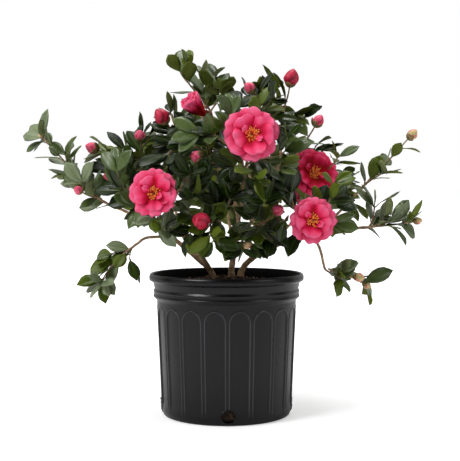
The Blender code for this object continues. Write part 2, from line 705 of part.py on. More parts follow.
class Grower:
    """Grows the side twigs and leaves of one mass by its seeded rule."""

    def __init__(self, name, plan, space):
        self.name = name
        self.space = space
        self.rng = random.Random(plan["seed"])
        self.step, self.side_step = HABITS[plan["habit"]]
        self.twigs = []
        self.leaves = []
        self.own_leaves = set()
        for leader in plan["leaders"]:
            self.grow_shoot(leader)

    def try_leaf(self, root, along, turn):
        """Set one leaf, turned a little further round the twig where it has no room."""
        lean = math.radians(self.rng.uniform(*LEAF_LEAN))
        length = self.rng.uniform(*LEAF_LENGTH)
        tilt = self.rng.uniform(-LEAF_TILT, LEAF_TILT)
        for more in LEAF_TRIES:
            frame = leaf_frame(root, along, turn + math.radians(more), lean, tilt)
            leaf = (root, *frame, length)
            if not self.space.in_room(self.name, leaf_spots(leaf)):
                continue
            trial = leaf_shape(leaf, LEAF_TRIAL_START, LEAF_TRIAL_GROWTH)
            if self.space.clear(trial, self.name, self.own_leaves):
                self.own_leaves.add(len(self.space.trees))
                self.space.add(trial, self.space.owner[self.name])
                self.leaves.append(leaf)
                return

    def dress(self, path, step, bare, tufted):
        """Set leaves in turn along a twig, and a tuft on its end."""
        total = sum((path[k + 1] - path[k]).length for k in range(len(path) - 1))
        count = max(1, int((total - bare) / step))
        first = self.rng.uniform(0.0, 360.0)
        for k in range(count + 1):
            share = (bare + (total - bare - 2.0) * k / count) / total
            root, along = point_along(path, min(share, 1.0))
            self.try_leaf(root, along, math.radians(first + LEAF_TURN * k))
        if tufted:
            along = tangent_at(path, len(path) - 1)
            for k in range(2):
                turn = first + LEAF_TURN * (count + 1 + k) + 40.0
                self.try_leaf(path[-1] - along, along, math.radians(turn))

    def grow_shoot(self, leader):
        """Dress one leader and give it its side twigs."""
        path = leader["path"]
        total = sum((path[k + 1] - path[k]).length for k in range(len(path) - 1))
        tufted = leader["end"] == "leaf" or not self.side_step
        self.dress(path, self.step, LEAF_BARE_START, tufted)
        if not self.side_step:
            return
        turn = self.rng.uniform(0.0, 360.0)
        for k in range(int((total - 18.0) / SIDE_STEP)):
            share = (18.0 + SIDE_STEP * (k + self.rng.uniform(0.2, 0.8))) / total
            root, along = point_along(path, min(share, 0.92))
            turn += 137.5
            self.try_twig(root, along, turn, self.rng.uniform(*SIDE_LENGTH))

    def try_twig(self, root, along, turn, length):
        """Set one side twig with its leaves if it has room."""
        flat = along.cross(Vector((0.0, 0.0, 1.0)))
        flat = flat.normalized() if flat.length > 0.1 else Vector((1.0, 0.0, 0.0))
        outward = (root - CROWN_CENTRE).normalized()
        for more in SIDE_TRIES:
            angle = math.radians(turn + more)
            radial = flat * math.cos(angle) + along.cross(flat) * math.sin(angle)
            aim = (along * 0.55 + radial * 0.75 + outward * 0.35).normalized()
            heading = (aim + along * 0.5).normalized()
            path = shoot_curve(root, heading, root + aim * length, 0.25, 2)
            if not self.space.in_room(self.name, dense(path, SAMPLE_STEP)[2:]):
                continue
            trial = tube(path, [SIDE_ROOT_RADIUS + LIMB_CLEAR] * 3, 3)
            if self.space.clear(trial, self.name, self.own_leaves):
                self.space.add(trial, self.space.owner[self.name])
                self.twigs.append(path)
                self.dress(path, self.side_step, SIDE_BARE_START, True)
                return


def bloom_facing(centre):
    """Way that a flower faces: out of the crown's face or back and a little up."""
    rise = (centre.z - CROWN_CENTRE.z) * 0.25 + 12.0
    out = Vector((centre.x * 0.35, centre.y - FACING_MIDDLE, rise))
    return out.normalized()


def bloom_solid(centre, facing, size, material):
    """A shallow scalloped cup of petals with a raised heart."""
    side = facing.cross(Vector((0.0, 0.0, 1.0))).normalized()
    other = side.cross(facing)
    petals = 7
    rings = ((0.30, -0.20, 0.0), (0.86, -0.05, 0.10), (1.0, 0.08, 0.10), (0.46, 0.09, 0.0))
    points = [centre - facing * size * 0.14]
    for reach, height, notch in rings:
        for k in range(2 * petals):
            angle = math.pi * k / petals
            radius = size / 2.0 * (reach - notch * (k % 2))
            spot = side * math.cos(angle) * radius + other * math.sin(angle) * radius
            points.append(centre + spot + facing * size * height)
    points.append(centre + facing * size * 0.12)
    count = 2 * petals
    faces = []
    for k in range(count):
        following = (k + 1) % count
        faces.append((0, 1 + k, 1 + following))
        for i in range(len(rings) - 1):
            a = 1 + i * count
            faces.append((a + k, a + count + k, a + count + following, a + following))
        last = 1 + (len(rings) - 1) * count
        faces.append((last + k, len(points) - 1, last + following))
    return add_object("bloom", points, faces, material)


def bud_solid(base, along, size, material, sides=5):
    """A plump pointed bud on the end of its stalk."""
    side = along.cross(Vector((0.0, 0.0, 1.0)))
    side = side.normalized() if side.length > 0.1 else Vector((1.0, 0.0, 0.0))
    other = side.cross(along)
    points = [base - along * 1.2]
    for share, radius in ((0.30, 0.36), (0.62, 0.33)):
        for k in range(sides):
            angle = 2.0 * math.pi * k / sides
            spot = side * math.cos(angle) + other * math.sin(angle)
            points.append(base + along * size * share + spot * size * radius)
    points.append(base + along * size)
    faces = []
    for k in range(sides):
        following = (k + 1) % sides
        faces.append((0, 1 + k, 1 + following))
        faces.append((1 + k, 1 + sides + k, 1 + sides + following, 1 + following))
        faces.append((1 + sides + k, 1 + 2 * sides, 1 + sides + following))
    return add_object("bud", points, faces, material)


def build_mass(name, plan, grower, material):
    """One mass: its twigs, leaves, blooms and buds joined into one closed body."""
    leader = plan["leaders"][0]
    mass = add_object(name, *tube(leader["path"], leader["radii"], 3, plan["heading"]), material)
    helpers = []
    for leader in plan["leaders"][1:]:
        shape = tube(leader["path"], leader["radii"], 3)
        helpers.append(add_object("twig", *shape, material))
    for path in grower.twigs:
        shape = tube(path, taper(SIDE_ROOT_RADIUS, TWIG_TIP_RADIUS, len(path) - 1), 3)
        helpers.append(add_object("twig", *shape, material))
    for leaf in grower.leaves:
        helpers.append(add_object("leaf", *leaf_shape(leaf), material))
    for leader in plan["leaders"]:
        tip = leader["path"][-1]
        along = tangent_at(leader["path"], len(leader["path"]) - 1)
        if leader["end"] == "bloom":
            helpers.append(bloom_solid(tip, bloom_facing(tip), leader["size"], material))
        elif leader["end"] in ("bud", "half"):
            helpers.append(bud_solid(tip, along, leader["size"], material))
    apply_boolean(mass, "UNION", helpers, "MANIFOLD")
    return keep_largest(mass)


def main():
    """Build the whole plant in its pot."""
    clear_scene()
    materials = {name: make_material(name) for name in COLOURS}
    build_pot(materials["pot_plastic"])
    build_soil(materials["potting_mix"])
    limbs = plan_limbs()
    build_limbs(limbs, materials["bark"])
    plans = plan_leaders(limbs)
    space = Space(limbs, plans)
    for name, plan in plans.items():
        build_mass(name, plan, Grower(name, plan, space), materials["foliage"])


main()
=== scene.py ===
"""Looks of a potted shishi gashira camellia: black nursery pot, potting mix, three barked
stems with their boughs, leafy twigs, pink blooms and buds. Sizes are in mm until a mesh is
made. The origin is the centre of the pot's flat underside and +Z is up."""
import json
import math
import random

import bmesh
import bpy
import numpy as np
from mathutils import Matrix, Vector
from mathutils.bvhtree import BVHTree

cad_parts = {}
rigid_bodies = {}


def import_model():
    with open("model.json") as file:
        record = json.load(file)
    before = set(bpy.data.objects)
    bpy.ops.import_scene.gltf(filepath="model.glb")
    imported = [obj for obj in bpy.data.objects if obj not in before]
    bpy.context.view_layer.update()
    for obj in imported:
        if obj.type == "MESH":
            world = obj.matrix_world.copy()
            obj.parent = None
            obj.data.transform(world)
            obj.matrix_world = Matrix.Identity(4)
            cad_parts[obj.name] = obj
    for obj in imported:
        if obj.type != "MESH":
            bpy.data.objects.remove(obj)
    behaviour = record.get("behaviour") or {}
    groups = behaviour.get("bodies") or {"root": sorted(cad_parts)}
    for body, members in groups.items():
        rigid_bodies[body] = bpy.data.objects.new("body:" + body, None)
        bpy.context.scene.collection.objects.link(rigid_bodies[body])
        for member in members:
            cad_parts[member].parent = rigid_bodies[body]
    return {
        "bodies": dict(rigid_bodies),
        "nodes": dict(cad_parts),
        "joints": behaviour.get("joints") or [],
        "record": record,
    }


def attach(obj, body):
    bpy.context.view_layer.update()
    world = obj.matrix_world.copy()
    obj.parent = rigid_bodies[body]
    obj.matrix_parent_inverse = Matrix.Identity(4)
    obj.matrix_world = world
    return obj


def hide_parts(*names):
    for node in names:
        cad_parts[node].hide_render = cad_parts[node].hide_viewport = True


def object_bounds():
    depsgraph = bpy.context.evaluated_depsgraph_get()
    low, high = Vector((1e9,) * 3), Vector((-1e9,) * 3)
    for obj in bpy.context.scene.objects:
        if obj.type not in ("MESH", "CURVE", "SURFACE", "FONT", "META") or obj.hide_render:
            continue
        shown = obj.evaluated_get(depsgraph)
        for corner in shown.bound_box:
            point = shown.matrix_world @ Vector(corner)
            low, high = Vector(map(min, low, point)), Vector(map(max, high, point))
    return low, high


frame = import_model()
cad_low, cad_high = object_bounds()


# --- Pot -------------------------------------------------------------------------------
# A round nursery can blow-moulded in black polythene: rolled lip, neck and grip band,
# eighteen arched flutes with a thin moulded edge, and four ragged drain holes at its foot.
MM = 0.001
POT_CORNERS = (
    # radius, height and reach of the rounding, up the outside, over the lip and down inside
    (93.5, 0.0, 0.8), (97.6, 1.5, 1.8), (100.1, 9.5, 3.0), (107.4, 178.0, 1.2),
    (112.4, 183.1, 0.7), (113.0, 184.4, 0.7), (112.2, 186.2, 0.8), (112.2, 190.6, 0.8),
    (112.8, 192.0, 0.7), (112.2, 193.4, 0.7), (110.9, 195.6, 0.8), (113.3, 205.4, 1.0),
    (119.2, 208.8, 1.4), (119.2, 215.4, 1.8), (116.7, 219.1, 1.4), (114.1, 217.4, 1.0),
    (110.4, 212.0, 1.4), (104.5, 177.0, 2.0), (97.4, 10.0, 2.0), (93.0, 3.0, 2.0),
)
POT_FLOOR_RINGS = (2.0, 60.0)
POT_WALL_CORNER = 3
POT_WALL_TOP = 177.0
POT_SWELL = 0.0012
SWELL_NOISE = (46.0, 4)
POT_PLAIN_STEP = 9.0
POT_CORNER_LIMIT = 0.45
POT_INSIDE_START = 3
POT_SKIN = 2.2
POT_CREASE = 42.0
FLUTES = 18
FLUTE_TURN = 1.0
FLUTE_HALF_ANGLE = 8.4
FLUTE_FOOT = (9.0, 26.0)
FLUTE_TOP = 169.0
FLUTE_END = 176.0
FLUTE_ARCH = 17.0
FLUTE_DEPTH = 1.3
FLUTE_SHOULDER = (0.2, 1.9)
FLUTE_EDGE_HEIGHT = 0.75
FLUTE_EDGE_WIDTH = 0.75
FLUTE_ROWS = (
    # first height, end and step: close together where the flutes fade and where they arch
    (12.0, 30.0, 3.0), (30.0, 148.0, 8.0), (150.0, 172.6, 0.8), (175.0, 176.0, 5.0),
)
FLUTE_COLUMNS = (0.9, 7.2)
FLUTE_EDGE_COLUMNS = (7.6, 7.9, 8.15, 8.4, 8.65, 8.95, 9.35)
HOLES = 4
HOLE_TURN = 1.8
HOLE_WIDTH = 21.0
HOLE_HEIGHT = 18.5
HOLE_CENTRE_HEIGHT = 14.0
HOLE_BAR = (84.0, 112.0)
HOLE_RAGGED = 0.05
HOLE_SEED = 11
HOLE_SIDES = 36
RIM_STEPS = (64, 8)
RIM_BEAD = 1.25
RIM_RAGGED = 0.55
RIM_START = 0.9
RIM_SPREAD = 0.9
RIM_STAND = (0.15, 1.1)
RIM_SEED = 21
NOISE_CELLS = 32


def lump_noise(spots, size, seed):
    """Random values from -1 to 1 on a cubic lattice of the size, blended smoothly between."""
    table = np.random.default_rng(seed).uniform(-1.0, 1.0, (NOISE_CELLS,) * 3)
    cell = np.floor(spots / size)
    part = spots / size - cell
    part = part * part * (3.0 - 2.0 * part)
    cell = cell.astype(int)
    total = 0.0
    for corner in range(8):
        step = np.array([corner & 1, corner >> 1 & 1, corner >> 2 & 1])
        weight = np.prod(np.where(step == 1, part, 1.0 - part), axis=-1)
        index = (cell + step) % NOISE_CELLS
        total = total + weight * table[index[..., 0], index[..., 1], index[..., 2]]
    return total


def smooth_step(value, low, high):
    """0 below low, 1 above high, and an even S between them."""
    part = np.clip((value - low) / (high - low), 0.0, 1.0)
    return part * part * (3.0 - 2.0 * part)


def polar(reach, angle, height):
    """Points at a reach and an angle from the pot's axis and at a height."""
    return np.stack(np.broadcast_arrays(reach * np.cos(angle), reach * np.sin(angle), height), -1)


def full_turn(count):
    """Even angles once round."""
    return np.linspace(0.0, 2.0 * np.pi, count, endpoint=False)


def ring_faces(rows, columns):
    """Quads between neighbouring rows of a grid of points whose columns close on themselves."""
    i, k = np.meshgrid(np.arange(rows - 1), np.arange(columns), indexing="ij")
    a = i * columns + k
    b = i * columns + (k + 1) % columns
    return np.stack([a, b, b + columns, a + columns], axis=-1).reshape(-1, 4)


def closed_rings(rings, foot, tip):
    """A grid of rings, closed at both ends by triangles to a point: its points, and its quads
    and triangles."""
    rows, columns = rings.shape[:2]
    count = rows * columns
    a = np.arange(columns)
    b = (a + 1) % columns
    foot_fan = np.stack([np.full(columns, count), b, a], axis=-1)
    tip_fan = np.stack([np.full(columns, count + 1), a + count - columns, b + count - columns], -1)
    points = np.vstack([rings.reshape(-1, 3), [foot], [tip]])
    return points, [ring_faces(rows, columns), np.vstack([foot_fan, tip_fan])]


def make_piece(name, finishes, points, faces, slots=None, smooth=True):
    """A mesh in place from an array of points in mm and arrays of three and four cornered
    faces. The slots give each face its finish."""
    mesh = bpy.data.meshes.new(name)
    corners = np.concatenate([part.ravel() for part in faces])
    sizes = np.concatenate([np.full(len(part), part.shape[1]) for part in faces])
    mesh.vertices.add(len(points))
    mesh.vertices.foreach_set("co", (np.asarray(points) * MM).astype(np.float32).ravel())
    mesh.loops.add(len(corners))
    mesh.loops.foreach_set("vertex_index", corners.astype(np.int32))
    mesh.polygons.add(len(sizes))
    mesh.polygons.foreach_set("loop_start", (np.cumsum(sizes) - sizes).astype(np.int32))
    for finish in finishes:
        mesh.materials.append(finish)
    if slots is not None:
        mesh.polygons.foreach_set("material_index", slots.astype(np.int32))
    mesh.polygons.foreach_set("use_smooth", np.full(len(sizes), smooth))
    mesh.update(calc_edges=True)
    mesh.validate()
    work = bmesh.new()
    work.from_mesh(mesh)
    bmesh.ops.recalc_face_normals(work, faces=work.faces[:])
    work.to_mesh(mesh)
    work.free()
    piece = bpy.data.objects.new(name, mesh)
    bpy.context.scene.collection.objects.link(piece)
    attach(piece, "root")
    return piece


def add_node(tree, kind, **values):
    """A shader node with values on its inputs, an underscore for each space in their names."""
    node = tree.nodes.new("ShaderNode" + kind)
    for name, value in values.items():
        node.inputs[name.replace("_", " ")].default_value = value
    return node


def wire(tree, *rows):
    """Links in a node tree, each from a node's output to a node's input."""
    for source, output, target, socket in rows:
        tree.links.new(source.outputs[output], target.inputs[socket])


def mottle_group():
    """Two scales of noise on the surface: a soft mottle between two colours and two
    roughnesses, and a fine grain for the relief."""
    group = bpy.data.node_groups.new("mottle", "ShaderNodeTree")
    for way, kind, names in (
            ("INPUT", "Vector", ("Spot",)),
            ("INPUT", "Float", ("Patches", "Grain", "Roughness low", "Roughness high")),
            ("INPUT", "Color", ("First", "Second")), ("OUTPUT", "Color", ("Color",)),
            ("OUTPUT", "Float", ("Roughness", "Height"))):
        for name in names:
            group.interface.new_socket(name, in_out=way, socket_type="NodeSocket" + kind)
    into = group.nodes.new("NodeGroupInput")
    out = group.nodes.new("NodeGroupOutput")
    patches = add_node(group, "TexNoise", Detail=3.0)
    grain = add_node(group, "TexNoise", Detail=5.0)
    spread = add_node(group, "MapRange", From_Min=0.36, From_Max=0.64)
    rough = add_node(group, "MapRange", From_Min=0.3, From_Max=0.7)
    blend = add_node(group, "Mix")
    blend.data_type = "RGBA"
    wire(group, (into, "Spot", patches, "Vector"), (into, "Patches", patches, "Scale"),
         (into, "Spot", grain, "Vector"), (into, "Grain", grain, "Scale"),
         (patches, "Fac", spread, "Value"), (spread, "Result", blend, "Factor"),
         (into, "First", blend, "A"), (into, "Second", blend, "B"),
         (patches, "Fac", rough, "Value"), (into, "Roughness low", rough, "To Min"),
         (into, "Roughness high", rough, "To Max"), (blend, "Result", out, "Color"),
         (rough, "Result", out, "Roughness"), (grain, "Fac", out, "Height"))
    return group


MOTTLE = mottle_group()


def make_finish(name, first, second, patches, grain, rough, relief, shine=0.5):
    """A finish that wanders between two colours, with patches and grain per metre, a range
    of roughness and a relief in mm. Shine is its plain specular level."""
    finish = bpy.data.materials.new(name)
    finish.use_nodes = True
    tree = finish.node_tree
    shader = tree.nodes["Principled BSDF"]
    shader.inputs["Specular IOR Level"].default_value = shine
    place = add_node(tree, "TexCoord")
    bump = add_node(tree, "Bump", Strength=1.0, Distance=relief * MM)
    mottle = tree.nodes.new("ShaderNodeGroup")
    mottle.node_tree = MOTTLE
    for socket, value in (("Patches", patches), ("Grain", grain), ("Roughness low", rough[0]),
                          ("Roughness high", rough[1]), ("First", (*first, 1.0)),
                          ("Second", (*second, 1.0))):
        mottle.inputs[socket].default_value = value
    wire(tree, (place, "Object", mottle, "Spot"), (mottle, "Color", shader, "Base Color"),
         (mottle, "Roughness", shader, "Roughness"), (mottle, "Height", bump, "Height"),
         (bump, "Normal", shader, "Normal"))
    return finish


def keep_values(piece, name, values):
    """A number on every point of a piece, for its finish to read."""
    piece.data.attributes.new(name, "FLOAT", "POINT").data.foreach_set("value", values)


def follow(finish, name, tints):
    """Let both colours of a finish follow the kept number, through the listed stops."""
    tree = finish.node_tree
    kept = add_node(tree, "Attribute")
    kept.attribute_name = name
    for column, socket in ((1, "First"), (2, "Second")):
        ramp = add_node(tree, "ValToRGB")
        stops = ramp.color_ramp.elements
        for k, tint in enumerate(tints):
            stop = stops[k] if k < 2 else stops.new(tint[0])
            stop.position = tint[0]
            stop.color = (*tint[column], 1.0)
        wire(tree, (kept, "Fac", ramp, "Fac"), (ramp, "Color", tree.nodes["Group"], socket))


def rounded_profile(corners, steps=4):
    """A line of radius and height through corners, each turned by a short arc of its own
    reach, and long plain runs divided at an even step."""
    spots = np.array(corners)[:, :2]
    line = [np.array([[ring, spots[0, 1]] for ring in POT_FLOOR_RINGS])]
    before = line[0][-1]
    ends = np.vstack([spots, [0.0, spots[-1, 1]]])
    share = np.linspace(0.0, 1.0, steps)[:, None]
    for k, spot in enumerate(spots):
        back, ahead = before - spot, ends[k + 1] - spot
        start = spot + back * min(corners[k][2] / np.linalg.norm(back), POT_CORNER_LIMIT)
        end = spot + ahead * min(corners[k][2] / np.linalg.norm(ahead), POT_CORNER_LIMIT)
        run = start - line[-1][-1]
        count = int(np.linalg.norm(run) / POT_PLAIN_STEP)
        middle = line[-1][-1] + run * np.linspace(0.0, 1.0, count + 2)[1:-1, None]
        if k == POT_WALL_CORNER:
            middle = wall_rows(line[-1][-1], start)
        arc = start * (1 - share) ** 2 + spot * 2 * share * (1 - share) + end * share ** 2
        line += [middle.reshape(-1, 2), arc]
        before = spot
    line.append(np.array([[ring, spots[-1, 1]] for ring in POT_FLOOR_RINGS[::-1]]))
    return np.vstack(line)


def wall_rows(low, high):
    """Points up the fluted wall at its listed heights."""
    heights = np.concatenate([np.arange(*row) for row in FLUTE_ROWS])
    share = (heights - low[1]) / (high[1] - low[1])
    return low + share[:, None] * (high - low)


def flute_relief(angle, height, radius):
    """Distance inside an arched outline gives a shallow sunk field and a thin raised edge;
    both fade out at the foot. The edge alone, from 0 to 1, comes second."""
    sector = 360.0 / FLUTES
    offset = (angle - (-90.0 + FLUTE_TURN + sector / 2.0) + sector / 2.0) % sector - sector / 2.0
    half = math.radians(FLUTE_HALF_ANGLE) * radius
    across = np.radians(offset) * radius
    rise = np.maximum(height - (FLUTE_TOP - FLUTE_ARCH), 0.0) * half / FLUTE_ARCH
    inside = half - np.hypot(across, rise)
    foot = smooth_step(height, *FLUTE_FOOT) * (height < FLUTE_END)
    field = -FLUTE_DEPTH * smooth_step(inside, *FLUTE_SHOULDER)
    edge = np.exp(-(inside / FLUTE_EDGE_WIDTH) ** 2) * foot
    return field * foot + FLUTE_EDGE_HEIGHT * edge, edge


def pot_surface():
    """A profile turned about Z on uneven columns, its outer wall moved by the flutes and by a
    slight swell."""
    step, last = FLUTE_COLUMNS
    edges = np.array(FLUTE_EDGE_COLUMNS)
    offsets = np.concatenate([-edges[::-1], np.arange(-last, last + step / 2.0, step), edges,
                              [180.0 / FLUTES]])
    centres = -90.0 + FLUTE_TURN + (np.arange(FLUTES) + 0.5) * 360.0 / FLUTES
    line = rounded_profile(POT_CORNERS)
    rows = np.arange(len(line))
    crest = int(np.argmax(line[:, 1]))
    wall = (rows < crest) & (line[:, 1] > FLUTE_FOOT[0]) & (line[:, 1] < POT_WALL_TOP)
    turn = np.tile((centres[:, None] + offsets).ravel(), (len(line), 1))
    radius = line[:, :1] + 0.0 * turn
    height = line[:, 1:] + 0.0 * turn
    radius[wall] += flute_relief(turn[wall], height[wall], radius[wall])[0]
    spots = polar(radius, np.radians(turn), height)
    spots[wall, :, :2] *= 1.0 + POT_SWELL * lump_noise(spots[wall], *SWELL_NOISE)[..., None]
    points, faces = closed_rings(spots, (0.0, 0.0, line[0, 1]), (0.0, 0.0, line[-1, 1]))
    count = turn.shape[1]
    # rows inside the pot take the second finish, its painted shade
    inside = np.repeat(rows[:-1] > crest + POT_INSIDE_START, count)
    return points, faces, np.concatenate([inside, np.arange(2 * count) >= count])


def wall_at(height):
    """Outer radius of the pot's wall and foot at a height."""
    corners = np.array(POT_CORNERS[:4])
    return np.interp(height, corners[:, 1], corners[:, 0])


def hole_angle(k):
    """Angle of a drain hole about the pot's axis."""
    return math.radians(-90.0 + HOLE_TURN + k * 360.0 / HOLES)


def hole_outline(turn, grown, k):
    """An oval about a drain hole's middle, pushed in and out by noise: sideways and height."""
    edge = polar(1.0, turn, 0.0)
    reach = 1.0 + HOLE_RAGGED * lump_noise(edge * 3.0 + 40.0, 1.0, HOLE_SEED + k)
    return ((HOLE_WIDTH / 2.0 + grown) * reach * np.cos(turn),
            HOLE_CENTRE_HEIGHT + (HOLE_HEIGHT / 2.0 + grown) * reach * np.sin(turn))


def hole_bar(k):
    """A radial bar of ragged oval section through the foot of the wall."""
    across, height = hole_outline(full_turn(HOLE_SIDES), 0.0, k)
    angle = hole_angle(k)
    out = np.array([math.cos(angle), math.sin(angle), 0.0])
    side = np.array([-math.sin(angle), math.cos(angle), 0.0])
    up = np.array([0.0, 0.0, 1.0])
    rings = [out * reach + across[:, None] * side + height[:, None] * up for reach in HOLE_BAR]
    ends = [out * reach + up * HOLE_CENTRE_HEIGHT for reach in HOLE_BAR]
    return make_piece("hole_bar", [], *closed_rings(np.array(rings), *ends))


def hole_rims():
    """A round bead carried along each hole's outline on the wall, thick and thin by noise."""
    around, section = RIM_STEPS
    count = around * section
    turn = full_turn(around)[:, None]
    bead = full_turn(section)[None, :]
    points, faces = [], []
    for k in range(HOLES):
        edge = polar(1.0, turn[:, 0], 0.0) * 5.0 + 30.0 * k
        thick = RIM_BEAD + RIM_RAGGED * lump_noise(edge, 1.0, RIM_SEED)[:, None]
        across, height = hole_outline(turn, RIM_START + thick * np.cos(bead) * RIM_SPREAD, k)
        reach = wall_at(height) + RIM_STAND[0] + thick * np.sin(bead) * RIM_STAND[1]
        angle = hole_angle(k)
        reach = np.sqrt(np.maximum(reach ** 2 - across ** 2, 0.0))
        spots = np.stack([reach * math.cos(angle) - across * math.sin(angle),
                          reach * math.sin(angle) + across * math.cos(angle), height], -1)
        points.append(spots.reshape(-1, 3))
        faces.append(ring_faces(around + 1, section) % count + k * count)
    return np.vstack(points), faces


POT_BLACK_AND_HIGHLIGHT_TINTS = (
    # how much a spot is a thin raised edge, and the two blacks that it wanders between; the paler
    # black on the raised edges is a painted highlight
    (0.0, (0.0032, 0.0032, 0.0042), (0.0060, 0.0060, 0.0074)),
    (1.0, (0.0420, 0.0420, 0.0450), (0.0620, 0.0620, 0.0660)),
)
black_plastic = make_finish("black_plastic", POT_BLACK_AND_HIGHLIGHT_TINTS[0][1], POT_BLACK_AND_HIGHLIGHT_TINTS[0][2], 14.0, 900.0,
                            (0.25, 0.36), 0.05, 0.27)
follow(black_plastic, "edge", POT_BLACK_AND_HIGHLIGHT_TINTS)
# painted shade: a darker, duller copy of the black plastic for the inside of the pot
painted_shade_inside = make_finish("painted_shade_inside", (0.0010, 0.0010, 0.0012), (0.0020, 0.0020, 0.0022),
                           14.0, 900.0, (0.60, 0.72), 0.05, 0.08)
pot = make_piece("nursery_pot", [black_plastic, painted_shade_inside], *pot_surface())
for k in range(HOLES):
    bar = hole_bar(k)
    cut = pot.modifiers.new("drain_hole", "BOOLEAN")
    cut.operation = "DIFFERENCE"
    cut.object = bar
    cut.solver = "MANIFOLD"
    bpy.context.view_layer.objects.active = pot
    bpy.ops.object.modifier_apply(modifier=cut.name)
    bpy.data.objects.remove(bar, do_unlink=True)
pot.data.set_sharp_from_angle(angle=math.radians(POT_CREASE))
spots = np.empty(3 * len(pot.data.vertices))
pot.data.vertices.foreach_get("co", spots)
spots = spots.reshape(-1, 3) / MM
around = np.degrees(np.arctan2(spots[:, 1], spots[:, 0]))
reach = np.hypot(spots[:, 0], spots[:, 1])
outer = reach > wall_at(spots[:, 2]) - POT_SKIN
bare = outer & (spots[:, 2] > FLUTE_FOOT[0]) & (spots[:, 2] < FLUTE_END)
# painted highlight: the flutes' thin raised edges on the outer wall take the paler black
keep_values(pot, "edge", flute_relief(around, spots[:, 2], reach)[1] * bare)
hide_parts("pot")
rims = make_piece("drain_hole_edges", [black_plastic], *hole_rims())


# --- Potting mix -----------------------------------------------------------------------
# A plug of composted bark and peat that fills the pot, level and a little raised under the
# stems, with loose chips, white perlite and root ends that show at the drain holes.
# radius and height up the plug's side and in over its top, and the steps between rings
SOIL_PROFILE = ((92.4, 3.4), (96.8, 10.0), (103.9, 177.0), (107.2, 197.0), (77.0, 203.0),
                (46.0, 207.0), (2.0, 207.0))
SOIL_STEPS = (3.0, 5.0, 3.0, 2.5, 2.5, 2.5)
SOIL_TOP_START = 190.0
SOIL_COLUMNS = 120
# share, size and seed of the coarse and the fine crumbs
CRUMBS = ((0.6, 7.0, 31), (0.4, 3.2, 32))
CRUMB_INWARD = 1.6
CRUMB_RISE = 1.8
PLUG_RADIUS = 98.0
CHIP_TINTS = (
    ("chip_brown", (0.020, 0.012, 0.008), (0.042, 0.026, 0.018)),
    ("chip_dark", (0.014, 0.008, 0.006), (0.030, 0.017, 0.011)),
    ("chip_pale", (0.10, 0.052, 0.030), (0.16, 0.090, 0.052)),
)
ANY_TURN = (0.0, 6.28)
SHARD_SIDES = 6
SHARD_FACES = 10
SHARD_REACH = (0.65, 1.15)
SHARD_TOP_REACH = (0.5, 0.95)
SHARD_TOP = (0.25, 0.6)
CHIPS = 620
CHIP_RADIUS = 103.0
CHIP_SIZE = (2.0, 6.8)
CHIP_WIDTH_SHARE = (0.4, 0.8)
CHIP_THICKNESS = (1.0, 3.0)
CHIP_LIFT = (-0.6, 2.2)
CHIP_TILT = 0.4
CHIP_SEED = 7
HEAP_CHIPS = CHIPS // 4
HEAP_SHARE = 0.42
HEAP_RADIUS = 34.0
HEAP_RISE = 5.0
PERLITE = 70
PERLITE_SIZE = (0.8, 1.7)
PERLITE_STRETCH = (1.0, 0.9, 1.3)
PERLITE_LIFT = (1.0, 2.6)
ROOT_ENDS = 9
ROOT_SEED = 17
ROOT_POINTS = 9
ROOT_SIDES = 5
ROOT_HEIGHT = (6.0, 19.0)
ROOT_CLIMB = 7
ROOT_BENDS = 9.0
ROOT_ASIDE = 0.1
ROOT_SWEEP = 0.16
ROOT_RADII = (0.7, 0.3)
ROOT_RADIUS_SHARE = (0.7, 1.3)
ROOT_STAND = (-0.5, 1.2)
PLUG_FOOT = ((3.4, 10.0, 30.0), (92.0, 97.0, 98.0))
BLUNT_POINT = 0.6


def soil_top(radius):
    """Height of the mix at a distance from the pot's middle."""
    top = np.array(SOIL_PROFILE[:2:-1])
    return np.interp(radius, top[:, 0], top[:, 1])


def soil_surface():
    """A profile turned about Z, pushed in and up by noise into crumbs."""
    corners = np.array(SOIL_PROFILE)
    lengths = np.linalg.norm(np.diff(corners, axis=0), axis=1)
    counts = np.maximum(2, (lengths / SOIL_STEPS).astype(int))
    line = [corners[k] + (corners[k + 1] - corners[k]) * np.arange(n)[:, None] / n
            for k, n in enumerate(counts)]
    line = np.vstack([*line, corners[-1:]])
    spots = polar(line[:, :1], full_turn(SOIL_COLUMNS)[None, :], line[:, 1:])
    crumbs = sum(share * lump_noise(spots, size, seed) for share, size, seed in CRUMBS)
    spots[..., :2] *= (1.0 - np.abs(crumbs) * CRUMB_INWARD / PLUG_RADIUS)[..., None]
    spots[..., 2] += np.where(line[:, 1:] > SOIL_TOP_START, crumbs * CRUMB_RISE, 0.0)
    return closed_rings(spots, (0.0, 0.0, line[0, 1]), (0.0, 0.0, line[-1, 1]))


def turned(yaw, pitch, roll):
    """Rotation arrays about Z, then Y, then X."""
    cy, sy, cp, sp = np.cos(yaw), np.sin(yaw), np.cos(pitch), np.sin(pitch)
    cr, sr = np.cos(roll), np.sin(roll)
    rows = [[cy * cp, cy * sp * sr - sy * cr, cy * sp * cr + sy * sr],
            [sy * cp, sy * sp * sr + cy * cr, sy * sp * cr - cy * sr],
            [-sp, cp * sr, cp * cr]]
    return np.moveaxis(np.array(rows), -1, 0)


def repeated(faces, each, count):
    """The faces of one shape for a count of shapes with as many points each."""
    return (faces[None] + each * np.arange(count)[:, None, None]).reshape(-1, faces.shape[1])


